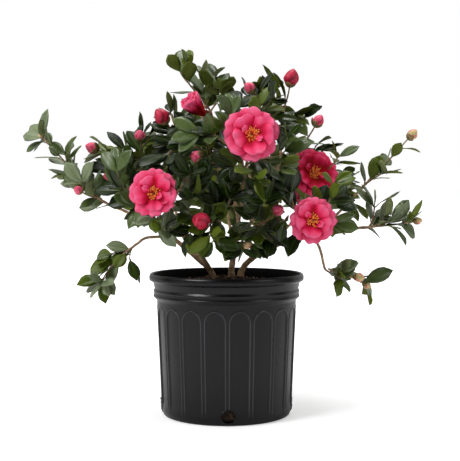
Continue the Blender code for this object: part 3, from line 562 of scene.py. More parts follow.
def shards(middles, scales, rotations, rng):
    """Six-sided flat blocks with every corner a little out of true, turned and set down."""
    count = len(middles)
    reach = rng.uniform(*SHARD_REACH, (count, SHARD_SIDES))
    ring = polar(reach, full_turn(SHARD_SIDES)[None, :], 0.0)[..., :2]
    low = np.concatenate([ring, np.full((count, SHARD_SIDES, 1), -0.5)], axis=-1)
    high = np.concatenate([ring * rng.uniform(*SHARD_TOP_REACH, (count, 1, 1)),
                           rng.uniform(*SHARD_TOP, (count, SHARD_SIDES, 1))], axis=-1)
    shape = np.concatenate([low, high], axis=1) * scales[:, None, :]
    spots = np.einsum("nij,nkj->nki", rotations, shape) + middles[:, None, :]
    cap = np.array([[0, 1, 2, 3], [0, 3, 4, 5]])
    block = np.vstack([ring_faces(2, SHARD_SIDES), cap, cap + SHARD_SIDES])
    return spots.reshape(-1, 3), repeated(block, 2 * SHARD_SIDES, count)


def loose_bits():
    """Chips scattered evenly over the mix and heaped at its middle, then white specks."""
    rng = np.random.default_rng(CHIP_SEED)
    reach = CHIP_RADIUS * np.sqrt(rng.uniform(0.0, 1.0, CHIPS))
    reach[:HEAP_CHIPS] *= HEAP_SHARE
    angle = rng.uniform(0.0, 2.0 * np.pi, CHIPS)
    rise = rng.uniform(*CHIP_LIFT, CHIPS)
    rise += np.where(reach < HEAP_RADIUS, rng.uniform(0.0, HEAP_RISE, CHIPS), 0.0)
    middles = polar(reach, angle, soil_top(reach) + rise)
    size = rng.uniform(*CHIP_SIZE, CHIPS)
    scales = np.stack([size, size * rng.uniform(*CHIP_WIDTH_SHARE, CHIPS),
                       rng.uniform(*CHIP_THICKNESS, CHIPS)], axis=-1)
    tilt = rng.normal(0.0, CHIP_TILT, (2, CHIPS))
    chips = shards(middles, scales, turned(rng.uniform(*ANY_TURN, CHIPS), *tilt), rng)
    tone = np.repeat(rng.integers(0, len(CHIP_TINTS), CHIPS), SHARD_FACES)
    reach = CHIP_RADIUS * np.sqrt(rng.uniform(0.0, 1.0, PERLITE))
    angle = rng.uniform(0.0, 2.0 * np.pi, PERLITE)
    middles = polar(reach, angle, soil_top(reach) + rng.uniform(*PERLITE_LIFT, PERLITE))
    scales = rng.uniform(*PERLITE_SIZE, (PERLITE, 3)) * PERLITE_STRETCH
    specks = shards(middles, scales, turned(*rng.uniform(*ANY_TURN, (3, PERLITE))), rng)
    points = np.vstack([chips[0], specks[0]])
    faces = np.vstack([chips[1], specks[1] + len(chips[0])])
    white = np.full(SHARD_FACES * PERLITE, len(CHIP_TINTS))
    return points, [faces], np.concatenate([tone, white])


def path_frame(path):
    """Unit directions along a path and two axes across it, from one steady reference."""
    along = np.gradient(path, axis=0)
    along /= np.linalg.norm(along, axis=1)[:, None]
    reference = np.eye(3)[np.argmin(np.abs(along).mean(axis=0))]
    side = np.cross(along, reference)
    side /= np.linalg.norm(side, axis=1)[:, None]
    return along, side, np.cross(along, side)


def round_bar(path, radii, sides):
    """A round bar carried along a path, one radius for each point or each point and side,
    flat at its root and closed by a short blunt point at its tip."""
    along, side, other = path_frame(path)
    turn = full_turn(sides)
    reach = np.broadcast_to(np.asarray(radii).reshape(len(path), -1), (len(path), sides))
    spots = (path[:, None] + side[:, None] * (reach * np.cos(turn))[..., None]
             + other[:, None] * (reach * np.sin(turn))[..., None])
    return closed_rings(spots, path[0], path[-1] + along[-1] * reach[-1].mean() * BLUNT_POINT)


def together(parts):
    """Several sets of points and of faces by kind as one."""
    starts = np.cumsum([0] + [len(part[0]) for part in parts[:-1]])
    faces = [np.vstack([kind + start for kind, start in zip(kinds, starts)])
             for kinds in zip(*[part[1] for part in parts])]
    return np.vstack([part[0] for part in parts]), faces


def root_ends():
    """Thin wandering bars over the plug's side behind each drain hole."""
    rng = np.random.default_rng(ROOT_SEED)
    bars = []
    share = np.linspace(0.0, 1.0, ROOT_POINTS)
    for k in range(HOLES * ROOT_ENDS):
        angle = (hole_angle(k % HOLES) + rng.uniform(-ROOT_ASIDE, ROOT_ASIDE)
                 + share * rng.uniform(-ROOT_SWEEP, ROOT_SWEEP))
        height = (rng.uniform(*ROOT_HEIGHT) + share * rng.uniform(-ROOT_CLIMB, ROOT_CLIMB)
                  + np.sin(share * ROOT_BENDS))
        reach = np.interp(height, *PLUG_FOOT) + rng.uniform(*ROOT_STAND)
        radii = np.linspace(*ROOT_RADII, ROOT_POINTS) * rng.uniform(*ROOT_RADIUS_SHARE)
        bars.append(round_bar(polar(reach, angle, height), radii, ROOT_SIDES))
    return together(bars)


dark_mix = make_finish("dark_mix", (0.012, 0.008, 0.006), (0.040, 0.024, 0.015),
                       260.0, 1400.0, (0.85, 1.0), 0.5, 0.3)
chip_browns = [make_finish(name, first, second, 500.0, 1500.0, (0.75, 0.95), 0.3, 0.2)
               for name, first, second in CHIP_TINTS]
perlite = make_finish("perlite", (0.55, 0.53, 0.48), (0.75, 0.73, 0.68), 800.0, 2500.0,
                      (0.85, 0.95), 0.2, 0.3)
root_brown = make_finish("root_brown", (0.055, 0.030, 0.016), (0.11, 0.064, 0.036), 300.0, 1800.0,
                         (0.7, 0.9), 0.1, 0.4)
mix = make_piece("potting_mix_plug", [dark_mix], *soil_surface())
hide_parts("soil")
bits = make_piece("bark_chips", [*chip_browns, perlite], *loose_bits(), smooth=False)
roots = make_piece("root_ends", [root_brown], *root_ends())


# --- Stems and boughs ------------------------------------------------------------------
# Three woody stems rise from the mix and fork into boughs, each a tapering limb with grey
# brown bark that is ridged lengthwise, ringed at its old leaf scars and swollen at forks.
STEM_BASE = 207.3
SOIL_GAP = 0.3
STEMS = (
    # name, foot, tip, lift, radius at the root and at the tip
    ("stem_left", (-20, 0), (-33, -4, 231), -0.5, 4.8, 4.0),
    ("stem_centre", (7, -10), (18, -6, 291), 0.2, 5.0, 3.7),
    ("stem_right", (21, 13), (71, 6, 258), -0.4, 4.8, 3.8),
)
BOUGHS = (
    # name, what carries it, the share along that, tip, lift, and both radii
    ("bough_left_low", "stem_left", 1.00, (-109, -30, 292), -0.15, 3.9, 2.7),
    ("bough_left_up", "stem_left", 0.66, (-83, -62, 311), 0.2, 3.0, 2.1),
    ("bough_back_left", "stem_left", 0.40, (-95, 92, 305), 0.1, 2.9, 2.1),
    ("bough_far_left", "bough_left_low", 1.00, (-168, -28, 320), -0.1, 2.7, 2.0),
    ("bough_left_droop", "bough_left_low", 0.72, (-131, -56, 268), -0.7, 2.2, 1.8),
    ("bough_upper_left", "bough_left_up", 0.50, (-103, 15, 370), 0.5, 2.2, 1.8),
    ("bough_centre_left", "stem_centre", 1.00, (-12, -28, 378), 0.3, 3.4, 2.5),
    ("bough_centre_right", "stem_centre", 0.82, (76, 2, 374), 0.2, 3.1, 2.3),
    ("bough_centre_front", "stem_centre", 0.62, (25, -86, 356), 0.6, 2.7, 2.0),
    ("bough_front_low", "stem_centre", 0.36, (-9, -80, 298), 0.3, 2.6, 2.0),
    ("bough_back_mid", "stem_centre", 0.48, (2, 95, 308), 0.2, 2.8, 2.1),
    ("bough_mid_left", "bough_centre_left", 0.62, (-54, -44, 404), 0.5, 2.1, 1.8),
    ("bough_top_left", "bough_centre_left", 1.00, (-20, 0, 448), 0.4, 2.4, 1.9),
    ("bough_back_top", "bough_centre_right", 0.42, (32, 62, 398), 0.5, 2.2, 1.8),
    ("bough_top_right", "bough_centre_right", 1.00, (85, 10, 447), 0.4, 2.2, 1.8),
    ("bough_upper_right", "bough_centre_right", 0.74, (112, 36, 405), 0.5, 2.1, 1.8),
    ("bough_low_centre", "stem_right", 0.50, (48, -68, 290), 0.4, 2.5, 1.9),
    ("bough_right_mid", "stem_right", 1.00, (204, -20, 289), -0.1, 3.6, 2.2),
    ("bough_back_right", "stem_right", 0.66, (112, 92, 302), 0.2, 2.6, 2.0),
    ("bough_right_front", "bough_right_mid", 0.20, (99, -82, 298), 0.4, 2.5, 1.9),
    ("bough_right_shade", "bough_right_mid", 0.33, (126, 45, 344), 0.5, 2.3, 1.8),
    ("bough_right_low", "bough_right_mid", 0.44, (147, -42, 233), -0.9, 2.2, 1.8),
    ("bough_right_up", "bough_right_mid", 0.56, (203, 6, 343), 0.1, 2.2, 1.8),
)
UP = Vector((0.0, 0.0, 1.0))
FORK_AIM = (0.75, 0.66)
LONG_BOUGH = 90.0
STEM_POINTS = 5
STEM_SIDES = 8
BOUGH_POINTS = (5, 4)
BOUGH_SIDES = 6
SHOOT_PULL = 0.36
CURVE_SPARE = 1.08
CURVE_LEAST = 4
UPRIGHT_LIMIT = 0.1
BARK_SIDES = 20
BARK_SEED = 101
BARK_STEP = 2.2
STEM_FLARE = 3.2
STEM_FLARE_NEXT = 0.12
BOUGH_FLARE = 1.3
FLARE_RUN = 3.2
SCAR_START = (8.0, 18.0)
SCAR_STEP = (13.0, 19.0)
SCAR_SWELL = 0.13
SCAR_RUN = 1.5
BARK_TURN = 5.0
BARK_CROOK = 0.5
BARK_NOISE = (90.0, 0.0, 14.0, 54)
BARK_RELIEF = (
    # stretch, size, seed and depth of the ridges, the plates and the lean
    ((1.0, 1.0, 0.16), 1.7, 51, 0.055), ((1.0, 1.0, 0.7), 1.1, 52, 0.035),
    ((0.5, 0.5, 0.4), 6.0, 53, 0.05),
)


def bezier(p0, p1, p2, p3, count):
    """Points along a cubic curve."""
    spots = []
    for k in range(count + 1):
        t = k / count
        s = 1.0 - t
        spots.append(p0 * s ** 3 + p1 * 3 * s * s * t + p2 * 3 * s * t * t + p3 * t ** 3)
    return spots


def shoot_curve(start, heading, tip, lift, count):
    """A bent shoot that leaves along its heading and ends with its lift upward."""
    reach = (tip - start).length
    aim = (tip - start) / max(reach, 1e-6)
    end = (aim + Vector((0.0, 0.0, lift))).normalized()
    return bezier(start, start + heading * reach * SHOOT_PULL, tip - end * reach * SHOOT_PULL,
                  tip, count)


def as_array(points):
    """Points or directions as one array."""
    return np.array([tuple(point) for point in points])


def fine_curve(course, step):
    """The same bent shoot as an array of points at about a step."""
    count = max(CURVE_LEAST, int((course[2] - course[0]).length * CURVE_SPARE / step))
    return as_array(shoot_curve(*course, count))


def tangent_at(path, k):
    """Unit direction of a path at one of its points."""
    ahead = path[min(k + 1, len(path) - 1)]
    behind = path[max(k - 1, 0)]
    return (ahead - behind).normalized()


def end_tangent(path):
    """Unit direction at a path's tip."""
    return tangent_at(path, len(path) - 1)


def run_lengths(path):
    """Length of each straight part of a path."""
    return [(path[k + 1] - path[k]).length for k in range(len(path) - 1)]


def level_side(along):
    """A level axis across a direction, or +X where that stands upright."""
    side = along.cross(UP)
    return side.normalized() if side.length > UPRIGHT_LIMIT else Vector((1.0, 0.0, 0.0))


def point_along(path, share):
    """Point and direction at a share of a path's length."""
    lengths = run_lengths(path)
    left = share * sum(lengths)
    for k, length in enumerate(lengths):
        if left <= length or k == len(lengths) - 1:
            step = path[k + 1] - path[k]
            return path[k] + step * min(left / length, 1.0), step.normalized()
        left -= length
    return path[-1], end_tangent(path)


def taper(first, last, count):
    """Radii that shrink evenly from the root to the tip."""
    return [first + (last - first) * k / count for k in range(count + 1)]


def plan_limbs():
    """Path, radii and course of every stem and bough."""
    limbs = {}
    for name, base, tip, lift, root_radius, tip_radius in STEMS:
        course = (Vector((*base, STEM_BASE)), UP, Vector(tip), lift)
        radii = taper(root_radius, tip_radius, STEM_POINTS)
        radii[0] += STEM_FLARE
        radii[1] += STEM_FLARE * STEM_FLARE_NEXT
        limbs[name] = {"path": shoot_curve(*course, STEM_POINTS), "course": course,
                       "sides": STEM_SIDES, "radii": radii}
    for name, parent, share, tip, lift, root_radius, tip_radius in BOUGHS:
        host = limbs[parent]
        tip = Vector(tip)
        if share >= 1.0:
            heading = end_tangent(host["path"])
            start = host["path"][-1] + heading * SOIL_GAP
        else:
            start, along = point_along(host["path"], share)
            aim = (tip - start).normalized()
            side = (aim - along * aim.dot(along)).normalized()
            heading = (side * FORK_AIM[0] + along * FORK_AIM[1]).normalized()
        count = BOUGH_POINTS[0] if (tip - start).length > LONG_BOUGH else BOUGH_POINTS[1]
        course = (start, heading, tip, lift)
        limbs[name] = {"path": shoot_curve(*course, count), "course": course,
                       "sides": BOUGH_SIDES, "radii": taper(root_radius, tip_radius, count)}
    return limbs


def stepped_run(path):
    """Share of each point along a finely stepped path, and its run in mm."""
    share = np.linspace(0.0, 1.0, len(path))
    return share, share * np.linalg.norm(np.diff(path, axis=0), axis=1).sum()


def wander(path, spread, shift, size, seed):
    """Slow noise in three directions at the points of a path."""
    return np.stack([lump_noise(path + spread * k + shift, size, seed) for k in range(3)], axis=-1)


def barked_limb(course, first, last, flare, seed):
    """A tapering bar whose radius swells at its root and at old leaf scars, with long ridges
    and small plates from stretched noise."""
    path = fine_curve(course, BARK_STEP)
    share, run = stepped_run(path)
    radii = first + (last - first) * share + flare * np.exp(-run / FLARE_RUN)
    rng = np.random.default_rng(seed)
    for scar in np.arange(rng.uniform(*SCAR_START), run[-1], rng.uniform(*SCAR_STEP)):
        radii = radii * (1.0 + SCAR_SWELL * np.exp(-((run - scar) / SCAR_RUN) ** 2))
    spots = polar(BARK_TURN, full_turn(BARK_SIDES)[None, :], run[:, None])
    relief = 1.0
    for stretch, size, table, depth in BARK_RELIEF:
        relief = relief + depth * lump_noise(spots * stretch + seed, size, table)
    path[1:-1] += BARK_CROOK * wander(path[1:-1], *BARK_NOISE)
    return round_bar(path, radii[:, None] * relief, BARK_SIDES)


def bark_piece(name, rows):
    """The named limbs as one barked mesh."""
    bars = [barked_limb(limbs[limb]["course"], first, last, flare, BARK_SEED + k)
            for k, (limb, first, last, flare) in enumerate(rows)]
    piece = make_piece(name, [old_bark], *together(bars))
    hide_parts(*[row[0] for row in rows])


limbs = plan_limbs()
old_bark = make_finish("old_bark", (0.270, 0.156, 0.080), (0.530, 0.365, 0.215), 190.0, 900.0,
                       (0.62, 0.88), 0.4, 0.4)
bark_piece("barked_stems", [(row[0], row[4], row[5], STEM_FLARE) for row in STEMS])
bark_piece("barked_boughs", [(row[0], row[5], row[6], 0.0 if row[2] >= 1.0 else BOUGH_FLARE)
                             for row in BOUGHS])


# --- Twigs -----------------------------------------------------------------------------
# Leafy twigs grow on from every bough by the rule of the solids, then carry on to finer
# ones in the same room. Older twigs are thin brown wood and the young ends are green.
MASSES = (
    # name, bough, seed, habit, and its shoots: tip, lift, and the bloom or bud on its end
    # with its size; the others end in leaves
    ("mass_centre_bloom", "bough_centre_front", 3382, "full", (
        ((36, -142, 426), 0.2, "bloom", 83), ((8, -104, 456), 0.5),
        ((-32, -112, 392), 0.6, "pink bud", 19), ((84, -98, 402), 0.4), ((-18, -118, 428), 0.4),
        ((56, -122, 374), 0.2), ((46, -84, 462), 0.4))),
    ("mass_left_bloom", "bough_left_up", 3501, "full", (
        ((-103, -136, 343), 0.2, "bloom", 72), ((-150, -96, 346), 0.2), ((-62, -124, 356), 0.4),
        ((-100, -104, 302), -0.2))),
    ("mass_right_bloom", "bough_right_front", 3051, "full", (
        ((123, -136, 304), 0.0, "bloom", 70), ((150, -104, 330), 0.4), ((92, -118, 342), 0.6),
        ((152, -92, 300), 0.0), ((108, -104, 284), -0.1))),
    ("mass_centre_front", "bough_front_low", 3627, "full", (
        ((-30, -132, 304), 0.1, "red bud", 26), ((-52, -112, 312), 0.4), ((6, -128, 334), 0.5),
        ((-34, -108, 284), -0.1))),
    ("mass_low_centre", "bough_low_centre", 3298, "full", (
        ((70, -110, 314), 0.4, "pink bud", 18), ((34, -98, 272), -0.3, "green bud", 13),
        ((48, -116, 334), 0.5), ((66, -96, 282), -0.2), ((14, -96, 276), -0.2))),
    ("mass_upper_left", "bough_upper_left", 3175, "full", (
        ((-196, -12, 408), 0.3, "pink bud", 19), ((-172, -24, 370), 0.3, "pink bud", 16),
        ((-132, -4, 422), 0.6, "pink bud", 17), ((-140, 12, 424), 0.5))),
    ("mass_mid_left", "bough_mid_left", 3670, "full", (
        ((-88, -64, 446), 0.4, "red bud", 24), ((-42, -84, 466), 0.5, "half", 40),
        ((-84, -36, 462), 0.4), ((-86, -80, 398), 0.1))),
    ("mass_top_left", "bough_top_left", 3536, "full", (
        ((-70, -6, 526), 0.0), ((-8, 0, 492), 0.5), ((-36, 16, 500), 0.6))),
    ("mass_top_right", "bough_top_right", 3549, "full", (
        ((97, 5, 506), 0.5, "red bud", 25), ((42, -18, 496), 0.6, "pink bud", 18),
        ((92, -16, 458), 0.3), ((62, 8, 492), 0.5))),
    ("mass_upper_right", "bough_upper_right", 3433, "full", (
        ((138, 28, 446), 0.3, "pink bud", 19), ((140, 46, 412), 0.2), ((100, 46, 428), 0.5))),
    ("mass_right_shade", "bough_right_shade", 3545, "full", (
        ((134, -20, 373), 0.2, "bloom", 80), ((168, -36, 396), 0.4), ((172, 52, 388), 0.3),
        ((164, 72, 352), 0.2), ((176, 0, 332), 0.1))),
    ("mass_far_left", "bough_far_left", 2379, "open", (
        ((-277, -32, 426), 0.0, "green bud", 8), ((-216, -52, 344), 0.5, "pink bud", 14))),
    ("mass_left_droop", "bough_left_droop", 4919, "open", (
        ((-183, -76, 214), -0.6), ((-170, -62, 252), -0.2))),
    ("mass_far_right_up", "bough_right_up", 5433, "open", (
        ((282, 12, 426), 0.1, "green bud", 17), ((236, -16, 372), 0.2))),
    ("mass_far_right_mid", "bough_right_mid", 4290, "open", (
        ((284, -30, 299), 0.1, "green bud", 12), ((226, -18, 322), 0.5), ((246, -44, 300), 0.0))),
    ("mass_right_droop", "bough_right_low", 5603, "open", (
        ((190, -62, 218), 0.0, "green bud", 15), ((206, -44, 206), -0.2, "green bud", 12),
        ((168, -66, 214), -0.4))),
    ("mass_back_left", "bough_back_left", 3005, "wide", (
        ((-170, 104, 350), 0.1), ((-134, 170, 340), 0.1, "pink bud", 17), ((-112, 122, 398), 0.5),
        ((-78, 176, 372), 0.4))),
    ("mass_back_mid", "bough_back_mid", 3005, "wide", (
        ((-34, 196, 332), 0.1), ((40, 206, 352), 0.3, "pink bud", 18), ((-20, 152, 386), 0.5),
        ((60, 168, 312), 0.0))),
    ("mass_back_right", "bough_back_right", 3007, "wide", (
        ((178, 110, 342), 0.1), ((142, 178, 336), 0.2, "bloom", 66), ((112, 134, 394), 0.5),
        ((168, 142, 314), 0.0))),
    ("mass_back_top", "bough_back_top", 3009, "wide", (
        ((-46, 92, 456), 0.4), ((64, 106, 466), 0.4, "red bud", 20), ((14, 134, 434), 0.4),
        ((14, 66, 480), 0.6))),
)
HABITS = {
    # step between leaves along a leader and along its side twigs, then for the finer growth
    # the step between twigs, their length and the step between leaves
    "full": (17.0, 15.0, 25.0, (20.0, 38.0), 12.0),
    "open": (18.0, 0.0, 34.0, (14.0, 28.0), 17.0),
    "wide": (27.0, 24.0, 24.0, (20.0, 38.0), 12.0),
}
SAMPLE_STEP = 6.0
LEADER_PIECE = 38.0
LEADER_SHARE = (0.05, 0.11)
LEADER_AIM = (0.5, 0.8)
LEADER_TAPER = 0.82
LEAF_TURN = 144.0
LEAF_LENGTH = (36.0, 51.0)
LEAF_WIDTH_SHARE = 0.50
LEAF_THICKNESS = 1.3
LEAF_LEAN = (38.0, 64.0)
LEAF_TILT = 0.9
LEAF_BARE_START = 16.0
LEAF_TRIES = (0.0, 75.0, -75.0, 150.0)
LEAF_OUTWARD = 0.25
LEAF_WIDEST = 0.46
LEAF_EDGE_RISE = 0.9
LEAF_TIP_DROP = 2.0
LEAF_KEEL = 0.38
LEAF_END_SPACE = 2.0
TUFT_LEAVES = 2
TUFT_TURN = 40.0
LEAF_TRIAL_START = 0.14
LEAF_TRIAL_GROWTH = 1.03
SIDE_STEP = 44.0
SIDE_LENGTH = (32.0, 50.0)
SIDE_BARE_START = 11.0
SIDE_TRIES = (0.0, 90.0, -90.0)
SIDE_PLACE = (0.2, 0.8)
SIDE_LAST = 0.92
SIDE_ROOM_START = 18.0
SIDE_AIM = (0.55, 0.75, 0.35)
SIDE_HEADING = 0.5
SIDE_LIFT = 0.25
TWIG_TURN = 137.5
TWIG_TIP_RADIUS = 0.9
SIDE_ROOT_RADIUS = 1.15
SPACE_SLACK = 14.0
LIMB_CLEAR = 1.2
BLOOM_CLEAR = 3.0
SIGHT_REACH = {"bloom": 45.0, "half": 90.0, "bud": 170.0}
SIGHT_SHARE = 0.42
SIGHT_MARGIN = 5.0
SIGHT_TURN = 60.0
CROWN_CENTRE = Vector((0.0, 0.0, 300.0))
LIGHT_WIDTH = 0.25
LIGHT_MIDDLE = 30.0
LIGHT_HEIGHT = 75.0
POT_KEEP_RADIUS = 120.0
POT_KEEP_TOP = 222.0
FINE_SEEDS = {
    "mass_centre_bloom": (63, 168, 167, 14, 195, 86, 124),
    "mass_left_bloom": (32, 143, 143, 131), "mass_right_bloom": (0, 45, 111, 149, 0),
    "mass_centre_front": (29, 111, 38, 15), "mass_low_centre": (24, 72, 30, 0, 192),
    "mass_upper_left": (161, 29, 178, 168), "mass_mid_left": (28, 101, 131, 147),
    "mass_top_left": (53, 88, 5), "mass_top_right": (0, 172, 127, 75),
    "mass_upper_right": (0, 26, 47), "mass_right_shade": (163, 153, 95, 108, 134),
    "mass_far_left": (521, 430), "mass_left_droop": (570, 440), "mass_far_right_up": (0, 34),
    "mass_far_right_mid": (577, 321, 30), "mass_right_droop": (401, 102, 0),
    "mass_back_left": (6, 7, 3, 1), "mass_back_mid": (8, 8, 8, 3),
    "mass_back_right": (6, 1, 2, 4), "mass_back_top": (7, 6, 3, 4),
}
FINE_LEAF_LENGTH = (29.0, 46.0)
FINE_BARE_START = 8.0
FINE_PLACE = (0.3, 0.9)
FINE_LAST = 0.94
SIGHT_EASE = 4.0
TWIG_BARS = {
    # root and tip radius, sides, and run between leaf joints; a leader has radii of its own
    "leader": (10, 13.0), "side": (SIDE_ROOT_RADIUS, 0.8, 8, 9.0), "fine": (0.95, 0.65, 6, 7.0),
}
TWIG_POINT_STEP = 3.2
TWIG_CROOK = 0.7
KNOT_START = 5.0
KNOT_SWELL = 0.22
KNOT_RUN = 1.6
CROOK_START = 6.0
CROOK_NOISE = (70.0, 12.0, 61)


def facet_tube(path, radii, sides):
    """Points and faces of a coarse bar along a path, by which clearances are tried."""
    normal = UP.cross(tangent_at(path, 0))
    if normal.length < 0.2:
        normal = Vector((1.0, 0.0, 0.0))
    points = []
    for k, spot in enumerate(path):
        along = tangent_at(path, k)
        normal = (normal - along * normal.dot(along)).normalized()
        other = along.cross(normal)
        for side in range(sides):
            angle = 2.0 * math.pi * side / sides
            offset = normal * math.cos(angle) + other * math.sin(angle)
            points.append(spot + offset * radii[k])
    faces = [tuple(range(sides)), tuple((len(path) - 1) * sides + s for s in range(sides))]
    for k in range(len(path) - 1):
        for side in range(sides):
            a = k * sides + side
            b = k * sides + (side + 1) % sides
            faces.append((a, b, b + sides, a + sides))
    return points, faces


def dense(path, step):
    """The points of a path with others set between them at about the step."""
    spots = []
    for k in range(len(path) - 1):
        pieces = max(1, int(round((path[k + 1] - path[k]).length / step)))
        for i in range(pieces):
            spots.append(path[k].lerp(path[k + 1], i / pieces))
    spots.append(path[-1])
    return spots


def plan_leaders(limbs):
    """Paths of the leading twigs of every mass, from its bough's tip."""
    plans = {}
    for name, bough, seed, habit, rows in MASSES:
        host = limbs[bough]
        leaders = []
        for k, (tip, lift, *bloom) in enumerate(rows):
            tip = Vector(tip)
            end, size = bloom or ("leaf", 0)
            if k == 0:
                away = end_tangent(host["path"])
                start = host["path"][-1] + away * SOIL_GAP
            else:
                share = LEADER_SHARE[0] + LEADER_SHARE[1] * k
                start, away = point_along(leaders[0]["path"], share)
            count = max(2, int(round((tip - start).length / LEADER_PIECE)))
            if k > 0:
                aim = (tip - start).normalized()
                away = (away * LEADER_AIM[0] + aim * LEADER_AIM[1]).normalized()
            course = (start, away, tip, lift)
            root = host["radii"][-1] * (1.0 if k == 0 else LEADER_TAPER)
            leaders.append({"path": shoot_curve(*course, count), "course": course, "end": end,
                            "radii": taper(root, TWIG_TIP_RADIUS * 1.1, count), "size": size})
        plans[name] = {"leaders": leaders, "seed": seed, "habit": habit}
    return plans


def sight_lane(leader):
    """Middle, radius, side and reach of the open lane before a bloom or bud."""
    tip = leader["path"][-1]
    side = -1.0 if tip.y < SIGHT_TURN else 1.0
    reach = SIGHT_REACH.get(leader["end"], SIGHT_REACH["bud"])
    if leader["end"] == "bloom":
        return (*tip, leader["size"] * SIGHT_SHARE, side, reach)
    middle = tip + end_tangent(leader["path"]) * leader["size"] / 2.0
    return (*middle, leader["size"] / 2.0 + SIGHT_MARGIN, side, reach)


class Space:
    """Keeps every mass to its own room and clear of all that has been placed."""

    def __init__(self, limbs, plans):
        self.owner = {name: k for k, name in enumerate(plans)}
        self.ends = None
        self.trees, self.lows, self.highs, self.owners = [], [], [], []
        spots, spot_owners, blooms, sights = [], [], [], []
        for limb in limbs.values():
            grown = [radius + LIMB_CLEAR for radius in limb["radii"]]
            self.add(facet_tube(limb["path"], grown, limb["sides"]), -1)
        for name, plan in plans.items():
            for leader in plan["leaders"]:
                fine = dense(leader["path"], SAMPLE_STEP)
                spots += fine
                spot_owners += [self.owner[name]] * len(fine)
                grown = [radius + LIMB_CLEAR for radius in leader["radii"]]
                self.add(facet_tube(leader["path"], grown, 3), self.owner[name])
                if leader["end"] in ("bloom", "half"):
                    blooms.append((*leader["path"][-1], leader["size"] / 2.0 + BLOOM_CLEAR))
                if leader["end"] != "leaf":
                    sights.append(sight_lane(leader))
        self.spots = as_array(spots)
        self.spot_owners = np.array(spot_owners)
        self.blooms = np.array(blooms)
        self.sights = np.array(sights)

    def add(self, solid, owner):
        """Remember a placed solid and whose it is."""
        points, faces = solid
        cloud = as_array(points)
        self.trees.append(BVHTree.FromPolygons(points, faces))
        self.lows.append(cloud.min(axis=0))
        self.highs.append(cloud.max(axis=0))
        self.owners.append(owner)

    def in_room(self, name, spots):
        """True if the spots are the mass's own, clear of blooms, buds and the pot."""
        spots = as_array(spots)
        if self.ends is not None and np.any((spots < self.ends[0]) | (spots > self.ends[1])):
            return False
        reach = np.linalg.norm(spots[:, None, :] - self.spots[None, :, :], axis=2)
        own = self.spot_owners == self.owner[name]
        if np.any(reach[:, own].min(axis=1) > reach[:, ~own].min(axis=1) + SPACE_SLACK):
            return False
        away = np.linalg.norm(spots[:, None, :] - self.blooms[None, :, :3], axis=2)
        if np.any(away < self.blooms[None, :, 3]):
            return False
        lane = spots[:, None, :] - self.sights[None, :, :3]
        ahead = np.clip(lane[:, :, 1] * self.sights[:, 4], 0.0, self.sights[:, 5])
        lane[:, :, 1] -= ahead * self.sights[:, 4]
        if np.any(np.linalg.norm(lane, axis=2) < self.sights[:, 3]):
            return False
        low = (np.hypot(spots[:, 0], spots[:, 1]) < POT_KEEP_RADIUS) & (spots[:, 2] < POT_KEEP_TOP)
        return not np.any(low)

    def clear(self, solid, name, own_leaves):
        """True if a solid touches nothing placed by others, nor these leaves of its own."""
        points, faces = solid
        tree = BVHTree.FromPolygons(points, faces)
        cloud = as_array(points)
        low, high = cloud.min(axis=0), cloud.max(axis=0)
        near = np.all(np.array(self.lows) <= high, axis=1)
        near &= np.all(np.array(self.highs) >= low, axis=1)
        for k in np.nonzero(near)[0]:
            if self.owners[k] == self.owner[name] and k not in own_leaves:
                continue
            if tree.overlap(self.trees[k]):
                return False
        return True


def leaf_frame(root, along, turn, lean, tilt):
    """Direction, width axis and face normal of a leaf on a twig."""
    side = level_side(along)
    radial = side * math.cos(turn) + along.cross(side) * math.sin(turn)
    outward = (root - CROWN_CENTRE).normalized()
    course = along * math.cos(lean) + radial * math.sin(lean) + outward * LEAF_OUTWARD
    course.normalize()
    light = Vector((root.x * LIGHT_WIDTH, root.y - LIGHT_MIDDLE, LIGHT_HEIGHT)).normalized()
    face = light + side * tilt
    face = (face - course * face.dot(course)).normalized()
    return course, course.cross(face), face


def leaf_trial(leaf, start, growth):
    """Points and faces of a plain pointed blade, by which its clearance is tried."""
    root, course, across, face, length = leaf
    width = length * LEAF_WIDTH_SHARE / 2.0 * growth
    thick = LEAF_THICKNESS * growth * growth
    wide = root + course * length * LEAF_WIDEST
    tip = root + course * length * growth - face * LEAF_TIP_DROP
    keel = root + course * length * LEAF_KEEL + face * (LEAF_EDGE_RISE - thick)
    points = [root + course * length * start, tip, wide + across * width + face * LEAF_EDGE_RISE,
              wide - across * width + face * LEAF_EDGE_RISE, keel]
    return points, [(0, 2, 3), (1, 3, 2), (0, 4, 2), (0, 3, 4), (1, 2, 4), (1, 4, 3)]


def leaf_spots(leaf):
    """Spots on a leaf's blade where its room is tried."""
    root, course, across, _, length = leaf
    spots = [root + course * length * share for share in (0.3, 0.6, 1.0)]
    middle = root + course * length * LEAF_WIDEST
    for part in (0.5, -0.5):
        spots.append(middle + across * length * LEAF_WIDTH_SHARE * part)
    return spots


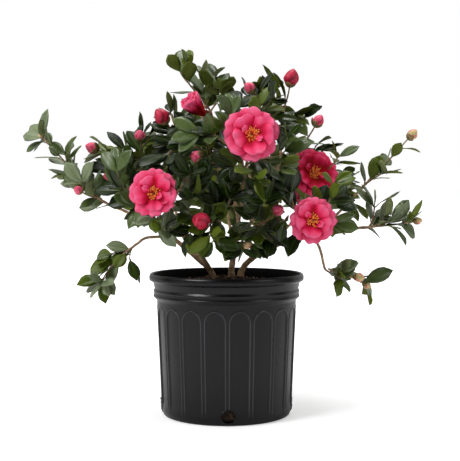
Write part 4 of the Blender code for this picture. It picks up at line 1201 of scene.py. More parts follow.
class Grower:
    """Grows the side twigs and leaves of one mass by its seeded rule."""

    def __init__(self, name, plan, space):
        self.name = name
        self.space = space
        self.plan = plan
        self.rng = random.Random(plan["seed"])
        self.step, self.side_step = HABITS[plan["habit"]][:2]
        self.lengths = LEAF_LENGTH
        self.twigs, self.fine_twigs, self.leaves, self.sprays = [], [], [], []
        self.spray = 0
        self.own_leaves = set()
        for leader in plan["leaders"]:
            self.grow_shoot(leader)

    def try_leaf(self, root, along, turn):
        """Set one leaf, turned a little further round the twig where it has no room."""
        lean = math.radians(self.rng.uniform(*LEAF_LEAN))
        length = self.rng.uniform(*self.lengths)
        tilt = self.rng.uniform(-LEAF_TILT, LEAF_TILT)
        for more in LEAF_TRIES:
            frame = leaf_frame(root, along, turn + math.radians(more), lean, tilt)
            leaf = (root, *frame, length)
            if not self.space.in_room(self.name, leaf_spots(leaf)):
                continue
            trial = leaf_trial(leaf, LEAF_TRIAL_START, LEAF_TRIAL_GROWTH)
            if self.space.clear(trial, self.name, self.own_leaves):
                self.own_leaves.add(len(self.space.trees))
                self.space.add(trial, self.space.owner[self.name])
                self.leaves.append(leaf)
                self.sprays.append(self.spray)
                return

    def dress(self, path, step, bare, tufted):
        """Set leaves in turn along a twig, and a tuft on its end."""
        self.spray += 1
        total = sum(run_lengths(path))
        count = max(1, int((total - bare) / step))
        first = self.rng.uniform(0.0, 360.0)
        for k in range(count + 1):
            share = (bare + (total - bare - LEAF_END_SPACE) * k / count) / total
            root, along = point_along(path, min(share, 1.0))
            self.try_leaf(root, along, math.radians(first + LEAF_TURN * k))
        if tufted:
            along = end_tangent(path)
            for k in range(TUFT_LEAVES):
                turn = first + LEAF_TURN * (count + 1 + k) + TUFT_TURN
                self.try_leaf(path[-1] - along, along, math.radians(turn))

    def grow_shoot(self, leader):
        """Dress one leader and give it its side twigs."""
        path = leader["path"]
        total = sum(run_lengths(path))
        tufted = leader["end"] == "leaf" or not self.side_step
        self.dress(path, self.step, LEAF_BARE_START, tufted)
        first = len(self.twigs)
        if self.side_step:
            turn = self.rng.uniform(0.0, 360.0)
            for k in range(int((total - SIDE_ROOM_START) / SIDE_STEP)):
                share = SIDE_ROOM_START + SIDE_STEP * (k + self.rng.uniform(*SIDE_PLACE))
                root, along = point_along(path, min(share / total, SIDE_LAST))
                turn += TWIG_TURN
                self.try_twig(root, along, turn, self.rng.uniform(*SIDE_LENGTH), self.twigs)
        leader["side"] = self.twigs[first:]

    def try_twig(self, root, along, turn, length, twigs):
        """Set one side twig with its leaves if it has room."""
        flat = level_side(along)
        outward = (root - CROWN_CENTRE).normalized()
        ahead, aside, away = SIDE_AIM
        for more in SIDE_TRIES:
            angle = math.radians(turn + more)
            radial = flat * math.cos(angle) + along.cross(flat) * math.sin(angle)
            aim = (along * ahead + radial * aside + outward * away).normalized()
            course = (root, (aim + along * SIDE_HEADING).normalized(), root + aim * length,
                      SIDE_LIFT)
            path = shoot_curve(*course, 2)
            if not self.space.in_room(self.name, dense(path, SAMPLE_STEP)[2:]):
                continue
            trial = facet_tube(path, [SIDE_ROOT_RADIUS + LIMB_CLEAR] * 3, 3)
            if self.space.clear(trial, self.name, self.own_leaves):
                self.space.add(trial, self.space.owner[self.name])
                twigs.append(course)
                self.dress(path, self.side_step, SIDE_BARE_START, True)
                return

    def carry_on(self):
        """Finer twigs between the first ones, with smaller leaves, in the same room, on each
        leader whose fine seed isn't 0. Open and budded shoots also bear more leaves."""
        self.step, span, self.side_step = HABITS[self.plan["habit"]][2:]
        self.lengths = FINE_LEAF_LENGTH
        for leader, seed in zip(self.plan["leaders"], FINE_SEEDS[self.name]):
            if seed:
                self.rng = random.Random(seed)
                self.fill_in(leader, span)

    def fill_in(self, leader, span):
        """Finer growth on one leader and its side twigs."""
        if self.plan["habit"] == "open" or leader["end"].endswith("bud"):
            self.dress(leader["path"], self.side_step, FINE_BARE_START, True)
        for path in [leader["path"]] + [shoot_curve(*course, 2) for course in leader["side"]]:
            count = int(sum(run_lengths(path)) / self.step)
            turn = self.rng.uniform(0.0, 360.0)
            for k in range(count):
                share = (k + self.rng.uniform(*FINE_PLACE)) / count
                root, along = point_along(path, min(share, FINE_LAST))
                turn += TWIG_TURN
                self.try_twig(root, along, turn, self.rng.uniform(*span), self.fine_twigs)


def knotted_twig(course, first, last, sides, knots, seed):
    """A slender bar that thins to its tip, thicker at each leaf joint and a little crooked."""
    path = fine_curve(course, TWIG_POINT_STEP)
    share, run = stepped_run(path)
    radii = first + (last - first) * share
    for knot in np.arange(KNOT_START, run[-1], knots):
        radii = radii * (1.0 + KNOT_SWELL * np.exp(-((run - knot) / KNOT_RUN) ** 2))
    spread, size, table = CROOK_NOISE
    crook = wander(path, spread, seed, size, table)
    path = path + TWIG_CROOK * crook * np.minimum(1.0, run / CROOK_START)[:, None]
    return round_bar(path, radii, sides)


def twig_piece(name, rows, finish):
    """Many twigs as one mesh."""
    bars = [knotted_twig(*row, float(k)) for k, row in enumerate(rows)]
    make_piece(name, [finish], *together(bars))


plans = plan_leaders(limbs)
space = Space(limbs, plans)
growers = {name: Grower(name, plan, space) for name, plan in plans.items()}
space.sights[:, 3] -= SIGHT_EASE
space.ends = (np.array(cad_low) / MM, np.array(cad_high) / MM)
for grower in growers.values():
    grower.carry_on()
leader_rows, side_rows, fine_rows = [], [], []
for grower in growers.values():
    leader_rows += [(leader["course"], leader["radii"][0], leader["radii"][-1],
                     *TWIG_BARS["leader"]) for leader in grower.plan["leaders"]]
    side_rows += [(course, *TWIG_BARS["side"]) for course in grower.twigs]
    fine_rows += [(course, *TWIG_BARS["fine"]) for course in grower.fine_twigs]
brown_twig = make_finish("brown_twig", (0.205, 0.115, 0.060), (0.385, 0.250, 0.142), 160.0,
                         1200.0, (0.5, 0.75), 0.15, 0.4)
green_twig = make_finish("green_twig", (0.130, 0.110, 0.035), (0.210, 0.180, 0.060), 120.0,
                         1200.0, (0.4, 0.6), 0.08, 0.5)
twig_piece("leading_twigs", leader_rows, brown_twig)
twig_piece("side_twigs", side_rows, brown_twig)
twig_piece("fine_twigs", fine_rows, green_twig)


# --- Leaves ----------------------------------------------------------------------------
# Thick evergreen leaves on short stalks: glossy dark green above, paler and dull beneath,
# folded a little along a yellow-green midrib and arched to the point.
LEAF_STATIONS = (0.03, 0.09, 0.14, 0.25, 0.43, 0.62, 0.79, 0.91)
LEAF_STALK_SHARE = 0.09
LEAF_STALK_HALF_WIDTH = 0.75
LEAF_BLADE_THICKNESS = 0.5
# what half width is left along the blade: powers of its run and of the sine, then the loss
# near the tip and where that starts
LEAF_OUTLINE = (1.16, 0.64, 0.45, 0.80)
LEAF_WIDTHS = (0.9, 1.08)
LEAF_RIB = (0.55, 1.15, 0.4)  # its half width, where it would end, and its limit
LEAF_SHOULDER = 0.52
LEAF_WAVES = 9.0
LEAF_ARCH_FOOT = 0.45
LEAF_TWIST_FOOT = 0.2
# thickness and slot of the nine columns, edge to edge above and back beneath
LEAF_LAYERS = (0, 0, 0.4, 0.4, 0, 0, 1.0, 1.9, 1.0)
LEAF_STALK_DEPTH = 1.6
LEAF_GRAIN = (45.0, 700.0)
LEAF_SLOTS = (0, 0, 2, 0, 0, 1, 1, 1, 1)
LEAF_TIP_SLOTS = (0, 0, 0, 0, 0, 1, 1, 1, 1)
MIDRIB_SLOT = 2
LEAF_TONES = {
    # tone: how often a spray has it inside the crown and on its outer shoots, two colours
    # above, two below, the roughness above and the shine; the darker tones dealt inside the
    # crown are painted shade, and the paler ones and the pale grey sheen tone dealt to its
    # outer shoots are painted light and a painted sheen
    "shade": (0.42, 0.00, ((0.006, 0.015, 0.001), (0.011, 0.025, 0.002)),
              ((0.034, 0.052, 0.004), (0.056, 0.078, 0.006)), (0.27, 0.40), 0.29),
    "deep": (0.24, 0.08, ((0.016, 0.034, 0.003), (0.029, 0.054, 0.004)),
             ((0.064, 0.092, 0.008), (0.095, 0.125, 0.012)), (0.24, 0.36), 0.35),
    "middle": (0.10, 0.34, ((0.058, 0.092, 0.024), (0.090, 0.130, 0.036)),
               ((0.098, 0.130, 0.018), (0.130, 0.162, 0.026)), (0.24, 0.36), 0.45),
    "sheen": (0.04, 0.38, ((0.146, 0.188, 0.096), (0.198, 0.242, 0.126)),
              ((0.172, 0.206, 0.088), (0.216, 0.252, 0.110)), (0.26, 0.36), 0.5),
    "young": (0.20, 0.20, ((0.064, 0.102, 0.005), (0.096, 0.136, 0.009)),
              ((0.112, 0.148, 0.009), (0.140, 0.182, 0.014)), (0.30, 0.44), 0.3),
}
LEAF_BENDS = (
    # least and most of the fold, curl, arch, wave, its start, and the twist
    (0.08, 0.50), (0.0, 0.45), (0.03, 0.34), (0.0, 0.07), ANY_TURN, (-0.35, 0.35),
)
TONE_SEED = 2024
BLADE_SEED = 77
PAINTED_SHADE_WIDTH = 70.0
PAINTED_LIGHT_WIDTH = 190.0


def leaf_blades(leaves, rng):
    """A blade over stations along it and nine columns round it. Its half width is a power of
    a sine along the leaf; its height is a fold by the distance from the midrib, an arch by
    the square of the run and a slow wave; the columns below follow at the blade's thickness."""
    root, course, across, face = [as_array([leaf[k] for leaf in leaves]) for k in range(4)]
    length = np.array([leaf[4] for leaf in leaves])
    count = len(leaves)
    share = np.array(LEAF_STATIONS)[None, :]
    blade = np.clip((share - LEAF_STALK_SHARE) / (1.0 - LEAF_STALK_SHARE), 0.0, 1.0)
    swell, blunt, loss, end = LEAF_OUTLINE
    outline = np.sin(np.pi * blade ** swell) ** blunt * (1.0 - loss * smooth_step(blade, end, 1.0))
    wide = rng.uniform(*LEAF_WIDTHS, (count, 1)) * LEAF_WIDTH_SHARE / 2.0
    half = np.maximum(length[:, None] * wide * outline, LEAF_STALK_HALF_WIDTH)
    rib = np.minimum(LEAF_RIB[0] * (LEAF_RIB[1] - share), half * LEAF_RIB[2])
    columns = np.stack([-half, -LEAF_SHOULDER * half, -rib, rib, LEAF_SHOULDER * half, half,
                        0.5 * half, 0.0 * half, -0.5 * half], axis=-1)
    fold, curl, arch, wave, phase, twist = [rng.uniform(low, high, (count, 1, 1))
                                            for low, high in LEAF_BENDS]
    run = share[:, :, None]
    reach = half.max(axis=1)[:, None, None]
    height = fold * np.abs(columns) - curl * columns ** 2 / reach
    height += wave * np.abs(columns) * np.sin(run * LEAF_WAVES + phase + np.sign(columns))
    height -= arch * length[:, None, None] * (run ** 2 - LEAF_ARCH_FOOT * run)
    height += twist * columns * (run - LEAF_TWIST_FOOT)
    thick = LEAF_BLADE_THICKNESS * np.array(LEAF_LAYERS)
    stalk = np.where(share <= LEAF_STALK_SHARE, LEAF_STALK_DEPTH, 1.0)[:, :, None]
    height -= thick[None, None, :] * stalk
    place = (root[:, None, None] + course[:, None, None] * (run * length[:, None, None])[..., None]
             + across[:, None, None] * columns[..., None] + face[:, None, None] * height[..., None])
    tip_drop = arch[:, 0, 0] * length * (1.0 - LEAF_ARCH_FOOT)
    tips = root + course * length[:, None] - face * tip_drop[:, None]
    points = np.concatenate([place.reshape(count, -1, 3), root[:, None], tips[:, None]], axis=1)
    faces = [repeated(kind, len(points[0]), count)
             for kind in closed_rings(place[0], root[0], tips[0])[1]]
    kind = np.tile(LEAF_SLOTS, len(LEAF_STATIONS) - 1)
    kind[:len(LEAF_SLOTS)] = MIDRIB_SLOT
    ends = np.concatenate([np.full(len(LEAF_SLOTS), MIDRIB_SLOT), LEAF_TIP_SLOTS])
    return points.reshape(-1, 3), faces, np.concatenate([np.tile(kind, count),
                                                         np.tile(ends, count)])


def leaf_finishes(tone, above, below, rough, shine):
    """Upper side, underside and midrib of one tone of leaf."""
    return [make_finish("leaf_" + tone + "_above", *above, *LEAF_GRAIN, rough, 0.12, shine),
            make_finish("leaf_" + tone + "_below", *below, *LEAF_GRAIN, (0.55, 0.7), 0.12, 0.2),
            midrib]


midrib = make_finish("leaf_midrib", (0.080, 0.110, 0.020), (0.110, 0.145, 0.028), 60.0, 900.0,
                     (0.45, 0.6), 0.05, 0.3)
by_tone = {tone: [] for tone in LEAF_TONES}
tone_rng = random.Random(TONE_SEED)
for name, grower in growers.items():
    spray_tones = {}
    for leaf, spray in zip(grower.leaves, grower.sprays):
        if spray not in spray_tones:
            # painted shade and light: sprays near the crown's middle mostly take the darker tones,
            # those on its outer shoots the paler ones and the grey sheen
            out = smooth_step(math.hypot(leaf[0].x, leaf[0].y * 0.5), PAINTED_SHADE_WIDTH, PAINTED_LIGHT_WIDTH)
            chances = [row[0] + (row[1] - row[0]) * out for row in LEAF_TONES.values()]
            spray_tones[spray] = tone_rng.choices(list(LEAF_TONES), chances)[0]
        by_tone[spray_tones[spray]].append(leaf)
blade_rng = np.random.default_rng(BLADE_SEED)
for tone, leaves in by_tone.items():
    finishes = leaf_finishes(tone, *LEAF_TONES[tone][2:])
    make_piece("leaves_" + tone, finishes, *leaf_blades(leaves, blade_rng))
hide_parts(*plans)


# --- Blooms ----------------------------------------------------------------------------
# Open semi-double flowers: whorls of crinkled pink petals, deeper towards the throat, partly by
# their own colour and partly by painted shade, round a short tuft of orange stamens, in a small
# green calyx. One more is only half open.
PETAL_ROWS = 14
PETAL_COLUMNS = 13
PETAL_STEMS = {
    # whorl: petals, length, width, rise at root and at end in degrees, cup, start height
    "bloom": ((8, 0.525, 0.43, 50.0, -14.0, -0.08, -0.15),
              (5, 0.435, 0.42, 58.0, -8.0, -0.06, -0.10),
              (2, 0.26, 0.17, 66.0, 12.0, 0.04, -0.07)),
    "half": ((6, 1.02, 0.66, 62.0, 78.0, 0.40, -0.40), (6, 0.92, 0.58, 70.0, 88.0, 0.45, -0.36),
             (5, 0.72, 0.44, 78.0, 92.0, 0.50, -0.30)),
    "sepals": ((6, 0.22, 0.17, 8.0, 48.0, 0.30, -0.165),),
}
PETAL_THICKNESS = 0.55
# how far a petal's turn, length, width, and rise at root and at end stray, and how much
# more for each whorl inward
PETAL_STRAY = ((0.20, 0.0), (0.04, 0.07), (0.12, 0.0), (5.0, 0.0), (7.0, 6.0))
WHORL_TURN = 0.3
# loss and squareness of the corners, shift and width of the notch, depth of the rim's waves
PETAL_CORNERS = (0.22, 2.6)
PETAL_NOTCH = 0.045
NOTCH_SHAPE = (0.12, 0.20)
PETAL_RIM_WAVE = (0.014, 6.0)
PETAL_ROOT_WIDTH = 0.22
PETAL_WIDEST = 0.70
PETAL_END_LOSS = 0.14
PETAL_THROAT = 0.02
PETAL_CRINKLE = 0.019
# waves over a petal and how deep each is; the last one runs along it
PETAL_WAVES = ((3.4, 0.6), (7.0, 0.6), (5.0, 0.2))
WAVE_GROWTH = 1.4
PETAL_CREASE = (0.012, 0.16)
# depth and number of the flush's streaks, and how much it deepens to the sides, less at the
# end: a painted shade where the petals overlap
FLUSH_STREAKS = (0.05, 6.5)
FLUSH_SIDE_SHADE = (0.40, 0.65)
SCALE_CRINKLE = 0.004
PETAL_TINTS = (
    # flush, and the two colours that it wanders between; the deep crimson low stops are partly
    # the petal's own colour and partly painted shade in the hollow round the stamens
    (0.05, (0.50, 0.003, 0.006), (0.62, 0.008, 0.012)),
    (0.28, (0.30, 0.001, 0.008), (0.42, 0.001, 0.018)),
    (0.48, (0.58, 0.004, 0.046), (0.68, 0.010, 0.070)),
    (0.66, (0.81, 0.038, 0.132), (0.88, 0.062, 0.170)),
    (0.95, (0.85, 0.110, 0.240), (0.89, 0.160, 0.310)),
)
BLOOM_SEED = 303
STAMENS = 96
STAMEN_LEAN = 58.0
STAMEN_EVENNESS = 0.8
STAMEN_LENGTH = (0.085, 0.150)
STAMEN_FOOT = (0.085, 0.015)
STAMEN_BEND = 0.02
STAMEN_SIDES = 4
# the shares along a stalk or the places along a grain, and the radii there
STAMEN_BAR = ((0.0, 0.5, 1.0), (0.45, 0.40, 0.36))
STAMEN_GRAIN = ((-0.9, 0.0, 1.35), (0.45, 1.0, 0.5))
# painted shade: the flush sinks in the troughs of the petals' waves and rises on their crests
FOLD_PAINTED_SHADE = 0.075
SCALE_BROWN_START = 0.46
# painted shade: the bloom that sits behind the leaves on the right has its flush pushed deeper,
# down to the limit
SHADE_DEPTH = {"mass_right_shade": 0.23}
SHADE_LIMIT = 0.24
FACING_MIDDLE = 90.0
FACING_OUT = 0.35
FACING_LIFT = (0.25, 12.0)
HALF_FACING = Vector((-0.62, -0.42, 0.55)).normalized()
HALF_CUP = (0.3, 1.2)  # how far its calyx sits back, and its growth


def bloom_facing(centre):
    """Way that a flower faces: out of the crown's face or back and a little up."""
    rise = (centre.z - CROWN_CENTRE.z) * FACING_LIFT[0] + FACING_LIFT[1]
    return Vector((centre.x * FACING_OUT, centre.y - FACING_MIDDLE, rise)).normalized()


def petal_shells(centre, facing, size, whorls, rng, notch=PETAL_NOTCH, crinkle=PETAL_CRINKLE):
    """Thin shells over a grid of width and run. Each petal's rise turns evenly from root to
    end, which places it by sines and cosines; its width swells by a sine; its end is rounded
    and notched; and waves across it stand on the surface and grow towards the edge. The
    flush runs from 0 at the root to 1 at the end; it falls off towards the sides and follows
    the folds of the waves, a painted shade where the petals overlap and in the waves' troughs."""
    side = facing.cross(UP).normalized()
    other = side.cross(facing)
    side, other, facing, centre = [np.array(axis) for axis in (side, other, facing, centre)]
    table = []
    for w, (count, long, wide, low, high, cup, start) in enumerate(whorls):
        for k in range(count):
            angle = 2.0 * math.pi * (k + 0.5 * (w % 2)) / count + WHORL_TURN * w
            limits = np.array([first + more * w for first, more in PETAL_STRAY])
            stray = limits * rng.uniform(-1.0, 1.0, len(limits))
            table.append((angle + stray[0], long * size * (1.0 + stray[1]),
                          wide * size * (1.0 + stray[2]), math.radians(low + stray[3]),
                          math.radians(high + stray[4]), cup, start * size))
    angle, long, wide, low, high, cup, start = [np.array(c)[:, None, None] for c in zip(*table)]
    count = len(table)
    run = np.linspace(0.0, 1.0, PETAL_ROWS)[None, :, None]
    across = np.linspace(-1.0, 1.0, PETAL_COLUMNS)[None, None, :]
    p0, p1, p2, p3 = rng.uniform(*ANY_TURN, (4, count, 1, 1))
    loss, square = PETAL_CORNERS
    shift, narrow = NOTCH_SHAPE
    depth, waves = PETAL_RIM_WAVE
    v = run * (1.0 - loss * np.abs(across) ** square * run ** 2
               - notch * np.exp(-((across - shift * np.sin(p0)) / narrow) ** 2) * run ** 5
               + depth * np.sin(waves * across + p0) * run ** 4)
    swell = np.sin(np.pi / 2.0 * np.minimum(run / PETAL_WIDEST, 1.0))
    half = wide / 2.0 * (PETAL_ROOT_WIDTH + (1.0 - PETAL_ROOT_WIDTH) * swell)
    beyond = np.maximum(run - PETAL_WIDEST, 0.0) / (1.0 - PETAL_WIDEST)
    half = half * (1.0 - PETAL_END_LOSS * beyond)
    rise = low + (high - low) * v
    reach = long * (np.sin(rise) - np.sin(low)) / (high - low) + size * PETAL_THROAT
    height = long * (np.cos(low) - np.cos(rise)) / (high - low) + start
    phases = (across * PETAL_WAVES[0][0] + p1, across * PETAL_WAVES[1][0] + p2 + run,
              run * PETAL_WAVES[2][0] + p3)
    wave = sum(np.sin(phase) * deep for phase, (_, deep) in zip(phases, PETAL_WAVES))
    stand = size * crinkle * wave * run ** WAVE_GROWTH + cup * half * across ** 2
    crease, narrow = PETAL_CREASE
    stand = stand - size * crease * np.exp(-(across / narrow) ** 2) * run
    reach = reach - np.sin(rise) * stand
    height = height + np.cos(rise) * stand
    out = side * np.cos(angle)[..., None] + other * np.sin(angle)[..., None]
    flank = -side * np.sin(angle)[..., None] + other * np.cos(angle)[..., None]
    top = (centre + out * reach[..., None] + flank * (across * half)[..., None]
           + facing * height[..., None])
    normal = np.cross(np.gradient(top, axis=2), np.gradient(top, axis=1))
    normal /= np.maximum(np.linalg.norm(normal, axis=-1, keepdims=True), 1e-9)
    inner = top[:, 1:-1, 1:-1] - normal[:, 1:-1, 1:-1] * PETAL_THICKNESS
    upper = np.arange(PETAL_ROWS * PETAL_COLUMNS).reshape(PETAL_ROWS, PETAL_COLUMNS)
    lower = upper.copy()
    lower[1:-1, 1:-1] = upper.size + np.arange(inner[0, ..., 0].size).reshape(inner.shape[1:3])
    quads = [np.stack([grid[:-1, :-1], grid[:-1, 1:], grid[1:, 1:], grid[1:, :-1]], axis=-1)
             for grid in (upper, lower[:, ::-1])]
    points = np.concatenate([top.reshape(count, -1, 3), inner.reshape(count, -1, 3)], axis=1)
    faces = repeated(np.array(quads).reshape(-1, 4), len(points[0]), count)
    depth, streaks = FLUSH_STREAKS
    pale, end = FLUSH_SIDE_SHADE
    flush = run + depth * np.sin(streaks * across + p1) * (1.0 - run)
    # painted shade: the flush deepens towards the sides near the root and in the waves' troughs
    flush = flush - pale * across ** 2 * (1.0 - end * run) + FOLD_PAINTED_SHADE * wave
    flush = np.concatenate([flush.reshape(count, -1), flush[:, 1:-1, 1:-1].reshape(count, -1)],
                           axis=1)
    return points.reshape(-1, 3), [faces], flush.ravel()


def stamen_tuft(centre, facing, size, rng):
    """Slender bars that lean out from the throat, and a small plump grain on each end."""
    side = np.array(facing.cross(UP).normalized())
    other = np.cross(side, np.array(facing))
    facing, centre = np.array(facing), np.array(centre)
    angle = rng.uniform(0.0, 2.0 * np.pi, STAMENS)
    lean = np.radians(STAMEN_LEAN * rng.uniform(0.0, 1.0, STAMENS) ** STAMEN_EVENNESS)
    long = size * rng.uniform(*STAMEN_LENGTH, STAMENS)
    out = side * np.cos(angle)[:, None] + other * np.sin(angle)[:, None]
    axis = facing * np.cos(lean)[:, None] + out * np.sin(lean)[:, None]
    flank = np.cross(axis, facing + 0.3 * side)
    flank /= np.linalg.norm(flank, axis=1)[:, None]
    third = np.cross(axis, flank)
    root = centre - facing * size * STAMEN_FOOT[0] + out * size * STAMEN_FOOT[1]
    end = root + axis * long[:, None] + out * size * STAMEN_BEND
    turn = full_turn(STAMEN_SIDES)[None, None, :, None]
    share, thin = np.array(STAMEN_BAR)[:, None, :, None, None]
    place, plump = np.array(STAMEN_GRAIN)[:, None, :, None, None]
    ring = flank[:, None, None] * np.cos(turn) + third[:, None, None] * np.sin(turn)
    stalk = root[:, None, None] + axis[:, None, None] * share * long[:, None, None, None]
    stalk = stalk + ring * thin + out[:, None, None] * (share ** 2) * size * STAMEN_BEND
    grain = end[:, None, None] + axis[:, None, None] * place + ring * plump
    cap = np.arange(STAMEN_SIDES)[None]
    rings = len(STAMEN_BAR[0])
    block = np.vstack([ring_faces(rings, STAMEN_SIDES), cap, cap + STAMEN_SIDES * (rings - 1)])
    points = np.concatenate([stalk.reshape(STAMENS, -1, 3), grain.reshape(STAMENS, -1, 3)], axis=1)
    each = STAMEN_SIDES * rings
    faces = repeated(np.vstack([block, block + each]), 2 * each, STAMENS)
    return points.reshape(-1, 3), [faces], np.tile(np.repeat([0, 1], len(block)), STAMENS)


def joined(parts):
    """Several sets of points, faces and slots as one."""
    return (*together(parts), np.concatenate([part[2] for part in parts]))


def scales(centre, facing, size, whorls):
    """Smooth green scales with browner ends, shaped as petals are."""
    points, faces, flush = petal_shells(centre, facing, size, whorls, bloom_rng, 0.0, SCALE_CRINKLE)
    return points, faces, (flush[faces[0]].mean(axis=1) > SCALE_BROWN_START).astype(int)


petal_skin = make_finish("petal_skin", PETAL_TINTS[0][1], PETAL_TINTS[0][2], 90.0, 900.0,
                         (0.6, 0.75), 0.10, 0.12)
follow(petal_skin, "flush", PETAL_TINTS)
stamen_finishes = [
    make_finish("stamen_thread", (0.96, 0.13, 0.018), (0.98, 0.24, 0.050), 200.0, 900.0,
                (0.5, 0.7), 0.02, 0.3),
    make_finish("stamen_grain", (0.98, 0.27, 0.045), (1.00, 0.42, 0.110), 400.0, 1500.0,
                (0.6, 0.8), 0.05, 0.3)]
sepal_greens = [
    make_finish("sepal_olive", (0.105, 0.105, 0.028), (0.17, 0.15, 0.045), 150.0, 900.0,
                (0.45, 0.6), 0.05, 0.4),
    make_finish("sepal_brown", (0.20, 0.115, 0.045), (0.30, 0.185, 0.085), 150.0, 900.0,
                (0.45, 0.6), 0.05, 0.4)]
bloom_rng = np.random.default_rng(BLOOM_SEED)
stamens, sepals = [], []
for name, plan in plans.items():
    for leader in plan["leaders"]:
        tip, size, end = leader["path"][-1], leader["size"], leader["end"]
        if end not in ("bloom", "half"):
            continue
        facing = bloom_facing(tip) if end == "bloom" else HALF_FACING
        points, faces, flush = petal_shells(tip, facing, size, PETAL_STEMS[end], bloom_rng)
        petals = make_piece(name.replace("mass_", "petals_"), [petal_skin], points, faces)
        # painted shade on the bloom that sits behind the leaves
        shaded = np.maximum(flush - SHADE_DEPTH.get(name, 0.0), np.minimum(flush, SHADE_LIMIT))
        keep_values(petals, "flush", shaded)
        if end == "bloom":
            stamens.append(stamen_tuft(tip, facing, size, bloom_rng))
        else:
            tip = tip - facing * size * HALF_CUP[0]
            size *= HALF_CUP[1]
        sepals.append(scales(tip, facing, size, PETAL_STEMS["sepals"]))
make_piece("bloom_stamens", stamen_finishes, *joined(stamens))


# --- Buds ------------------------------------------------------------------------------
# Plump pointed buds on the twig ends, their petals wound round each other, held in a cup
# of small olive-brown scales. The older ones are crimson, the younger cream and green.
BUD_ROWS = 12
BUD_COLUMNS = 30
BUD_WINDS = 3
BUD_GROWTH = 1.12
BUD_HALF_WIDTH = 0.42
BUD_EDGE = 0.26
BUD_RUN = (0.04, 0.97)
BUD_OUTLINE = (0.86, 0.72)
BUD_WIND_LEAN = 1.1
BUD_FOLD = (0.93, 0.13)
BUD_SCALES = {
    # bud: rows of scales, each as a whorl of petals
    "red bud": ((5, 0.46, 0.44, 12.0, 82.0, 0.30, -0.06),),
    "pink bud": ((5, 0.76, 0.50, 12.0, 98.0, 0.34, -0.06),),
    "green bud": ((5, 0.72, 0.50, 18.0, 100.0, 0.34, -0.06), (4, 0.5, 0.5, 10, 90, 0.34, -0.08)),
}
BUD_TINTS = {
    # bud: the finish of its petals and that of the sunk strip beside each wound petal edge, each
    # of two colours; on the red and pink buds that strip is a darker painted shade, on the green
    # bud a pink blush of its own
    "red bud": (("bud_crimson", (0.44, 0.005, 0.034), (0.58, 0.014, 0.062)),
                ("bud_dark", (0.20, 0.002, 0.016), (0.28, 0.004, 0.026))),
    "pink bud": (("bud_pink", (0.78, 0.070, 0.155), (0.86, 0.14, 0.25)),
                 ("bud_rose", (0.58, 0.020, 0.080), (0.66, 0.035, 0.115))),
    "green bud": (("bud_cream", (0.52, 0.43, 0.16), (0.66, 0.48, 0.26)),
                  ("bud_blush", (0.70, 0.15, 0.16), (0.78, 0.25, 0.23))),
}


def bud_body(base, along, size):
    """An egg turned about its axis, its radius stepped by petals that wind to the point."""
    side = level_side(along)
    other = np.array(side.cross(along))
    side, along, base = np.array(side), np.array(along), np.array(base)
    run = np.linspace(*BUD_RUN, BUD_ROWS)[:, None]
    turn = full_turn(BUD_COLUMNS)[None, :]
    wound = (BUD_WINDS * turn / (2.0 * np.pi) + BUD_WIND_LEAN * run) % 1.0
    low, blunt = BUD_OUTLINE
    radius = size * BUD_HALF_WIDTH * np.sin(np.pi * run ** low) ** blunt
    radius = radius * (BUD_FOLD[0] + BUD_FOLD[1] * wound)
    spots = (base + along * (run * size)[..., None]
             + side * (radius * np.cos(turn))[..., None]
             + other * (radius * np.sin(turn))[..., None])
    points, faces = closed_rings(spots, base, base + along * size)
    # the sunk strip beside each step takes the second finish: painted shade on the red and pink
    # buds
    return points, faces, (wound[:-1] < BUD_EDGE).astype(int).ravel()


bud_sepals = []
for look, tints in BUD_TINTS.items():
    skins = [make_finish(*tint, 120.0, 900.0, (0.4, 0.55), 0.06, 0.4) for tint in tints]
    bodies = []
    for leader in [leader for plan in plans.values() for leader in plan["leaders"]]:
        if leader["end"] == look:
            tip, size = leader["path"][-1], leader["size"] * BUD_GROWTH
            along = end_tangent(leader["path"])
            bodies.append(bud_body(tip, along, size))
            bud_sepals.append(scales(tip, along, size, BUD_SCALES[look]))
    points, faces, slots = joined(bodies)
    slots = np.concatenate([slots, np.zeros(len(faces[1]), int)])
    make_piece(look.replace(" ", "_") + "s", skins, points, faces, slots)
make_piece("bud_scales", sepal_greens, *joined(sepals + bud_sepals))


# --- Room, light and camera --------------------------------------------------------------
# A plain white studio: a pale matt floor, soft lamps above and to both sides, a white wall
# behind that dims towards the camera, and the camera at the photograph's height.
CAMERA_PLACE = (0.0054, -1.705, 0.352)
CAMERA_PITCH = 2.28
CAMERA_FOCUS = 1105.0
LONG_SIDE = 461.0
SENSOR = 36.0
LAMPS = (
    # name, place, size and power
    ("key_lamp", (-1.9, -1.5, 2.2), 1.2, 60.0),
    ("fill_lamp", (2.0, -1.2, 1.3), 1.2, 12.0),
    ("top_lamp", (0.1, 0.3, 2.6), 1.4, 34.0),
)
LAMP_AIM = Vector((0.0, 0.0, 0.3))
FLOOR_HALF = 30.0
FLOOR_NEAR = 0.35
FLOOR_FAR = 2.0
FLOOR_GLOW = (0.42, 0.95)
ROOM_FRONT = 0.05
ROOM_BACK = 0.60
ROOM_TURN = (-0.75, 0.35)
WHITE = (1.0, 1.0, 1.0, 1.0)

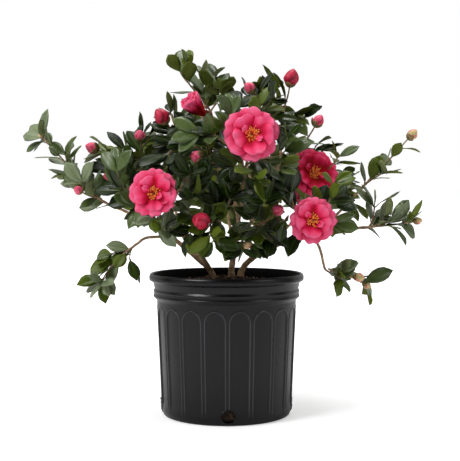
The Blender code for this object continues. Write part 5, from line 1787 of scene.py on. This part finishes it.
floor_mesh = bpy.data.meshes.new("studio_floor")
floor_corners = [(x * FLOOR_HALF, y * FLOOR_HALF, 0.0)
                 for x, y in ((-1, -1), (1, -1), (1, 1), (-1, 1))]
floor_mesh.from_pydata(floor_corners, [], [(0, 1, 2, 3)])
floor = bpy.data.objects.new("studio_floor", floor_mesh)
bpy.context.scene.collection.objects.link(floor)
floor_white = make_finish("floor_white", (0.88, 0.88, 0.88), (0.89, 0.89, 0.89), 3.0, 60.0,
                          (0.9, 1.0), 0.0, 0.0)
floor_mesh.materials.append(floor_white)
tree = floor_white.node_tree
pale = tree.nodes["Principled BSDF"]
pale.inputs["Emission Color"].default_value = WHITE
sight = add_node(tree, "LightPath")
place = add_node(tree, "TexCoord")
away = add_node(tree, "VectorMath")
away.operation = "LENGTH"
spread = add_node(tree, "MapRange", From_Min=FLOOR_NEAR, From_Max=FLOOR_FAR,
                  To_Min=FLOOR_GLOW[0], To_Max=FLOOR_GLOW[1])
lift = add_node(tree, "Math")
lift.operation = "MULTIPLY"
wire(tree, (place, "Object", away, "Vector"), (away, "Value", spread, "Value"),
     (spread, "Result", lift, 1), (sight, "Is Camera Ray", lift, 0),
     (lift, "Value", pale, "Emission Strength"))

room = bpy.data.worlds.new("studio")
bpy.context.scene.world = room
room.use_nodes = True
tree = room.node_tree
wall = tree.nodes["Background"]
wall.inputs["Color"].default_value = WHITE
ways = add_node(tree, "TexCoord")
split = add_node(tree, "SeparateXYZ")
depth = add_node(tree, "MapRange", From_Min=ROOM_TURN[0], From_Max=ROOM_TURN[1],
                 To_Min=ROOM_FRONT, To_Max=ROOM_BACK)
sight = add_node(tree, "LightPath")
seen = add_node(tree, "Mix", B=1.0)
wire(tree, (ways, "Generated", split, "Vector"), (split, "Y", depth, "Value"),
     (sight, "Is Camera Ray", seen, "Factor"), (depth, "Result", seen, "A"),
     (seen, "Result", wall, "Strength"))

for name, place, size, power in LAMPS:
    lamp = bpy.data.lights.new(name, "AREA")
    lamp.shape = "DISK"
    lamp.size = size
    lamp.energy = power
    holder = bpy.data.objects.new(name, lamp)
    holder.location = place
    aim = LAMP_AIM - Vector(place)
    holder.rotation_euler = aim.to_track_quat("-Z", "Y").to_euler()
    bpy.context.scene.collection.objects.link(holder)

lens = bpy.data.cameras.new("camera")
lens.sensor_width = SENSOR
lens.lens = CAMERA_FOCUS / LONG_SIDE * SENSOR
lens.clip_end = 80.0
camera = bpy.data.objects.new("camera", lens)
camera.location = CAMERA_PLACE
camera.rotation_euler = (math.radians(90.0 - CAMERA_PITCH), 0.0, 0.0)
bpy.context.scene.collection.objects.link(camera)
bpy.context.scene.camera = camera
bpy.context.scene.view_settings.view_transform = "Standard"
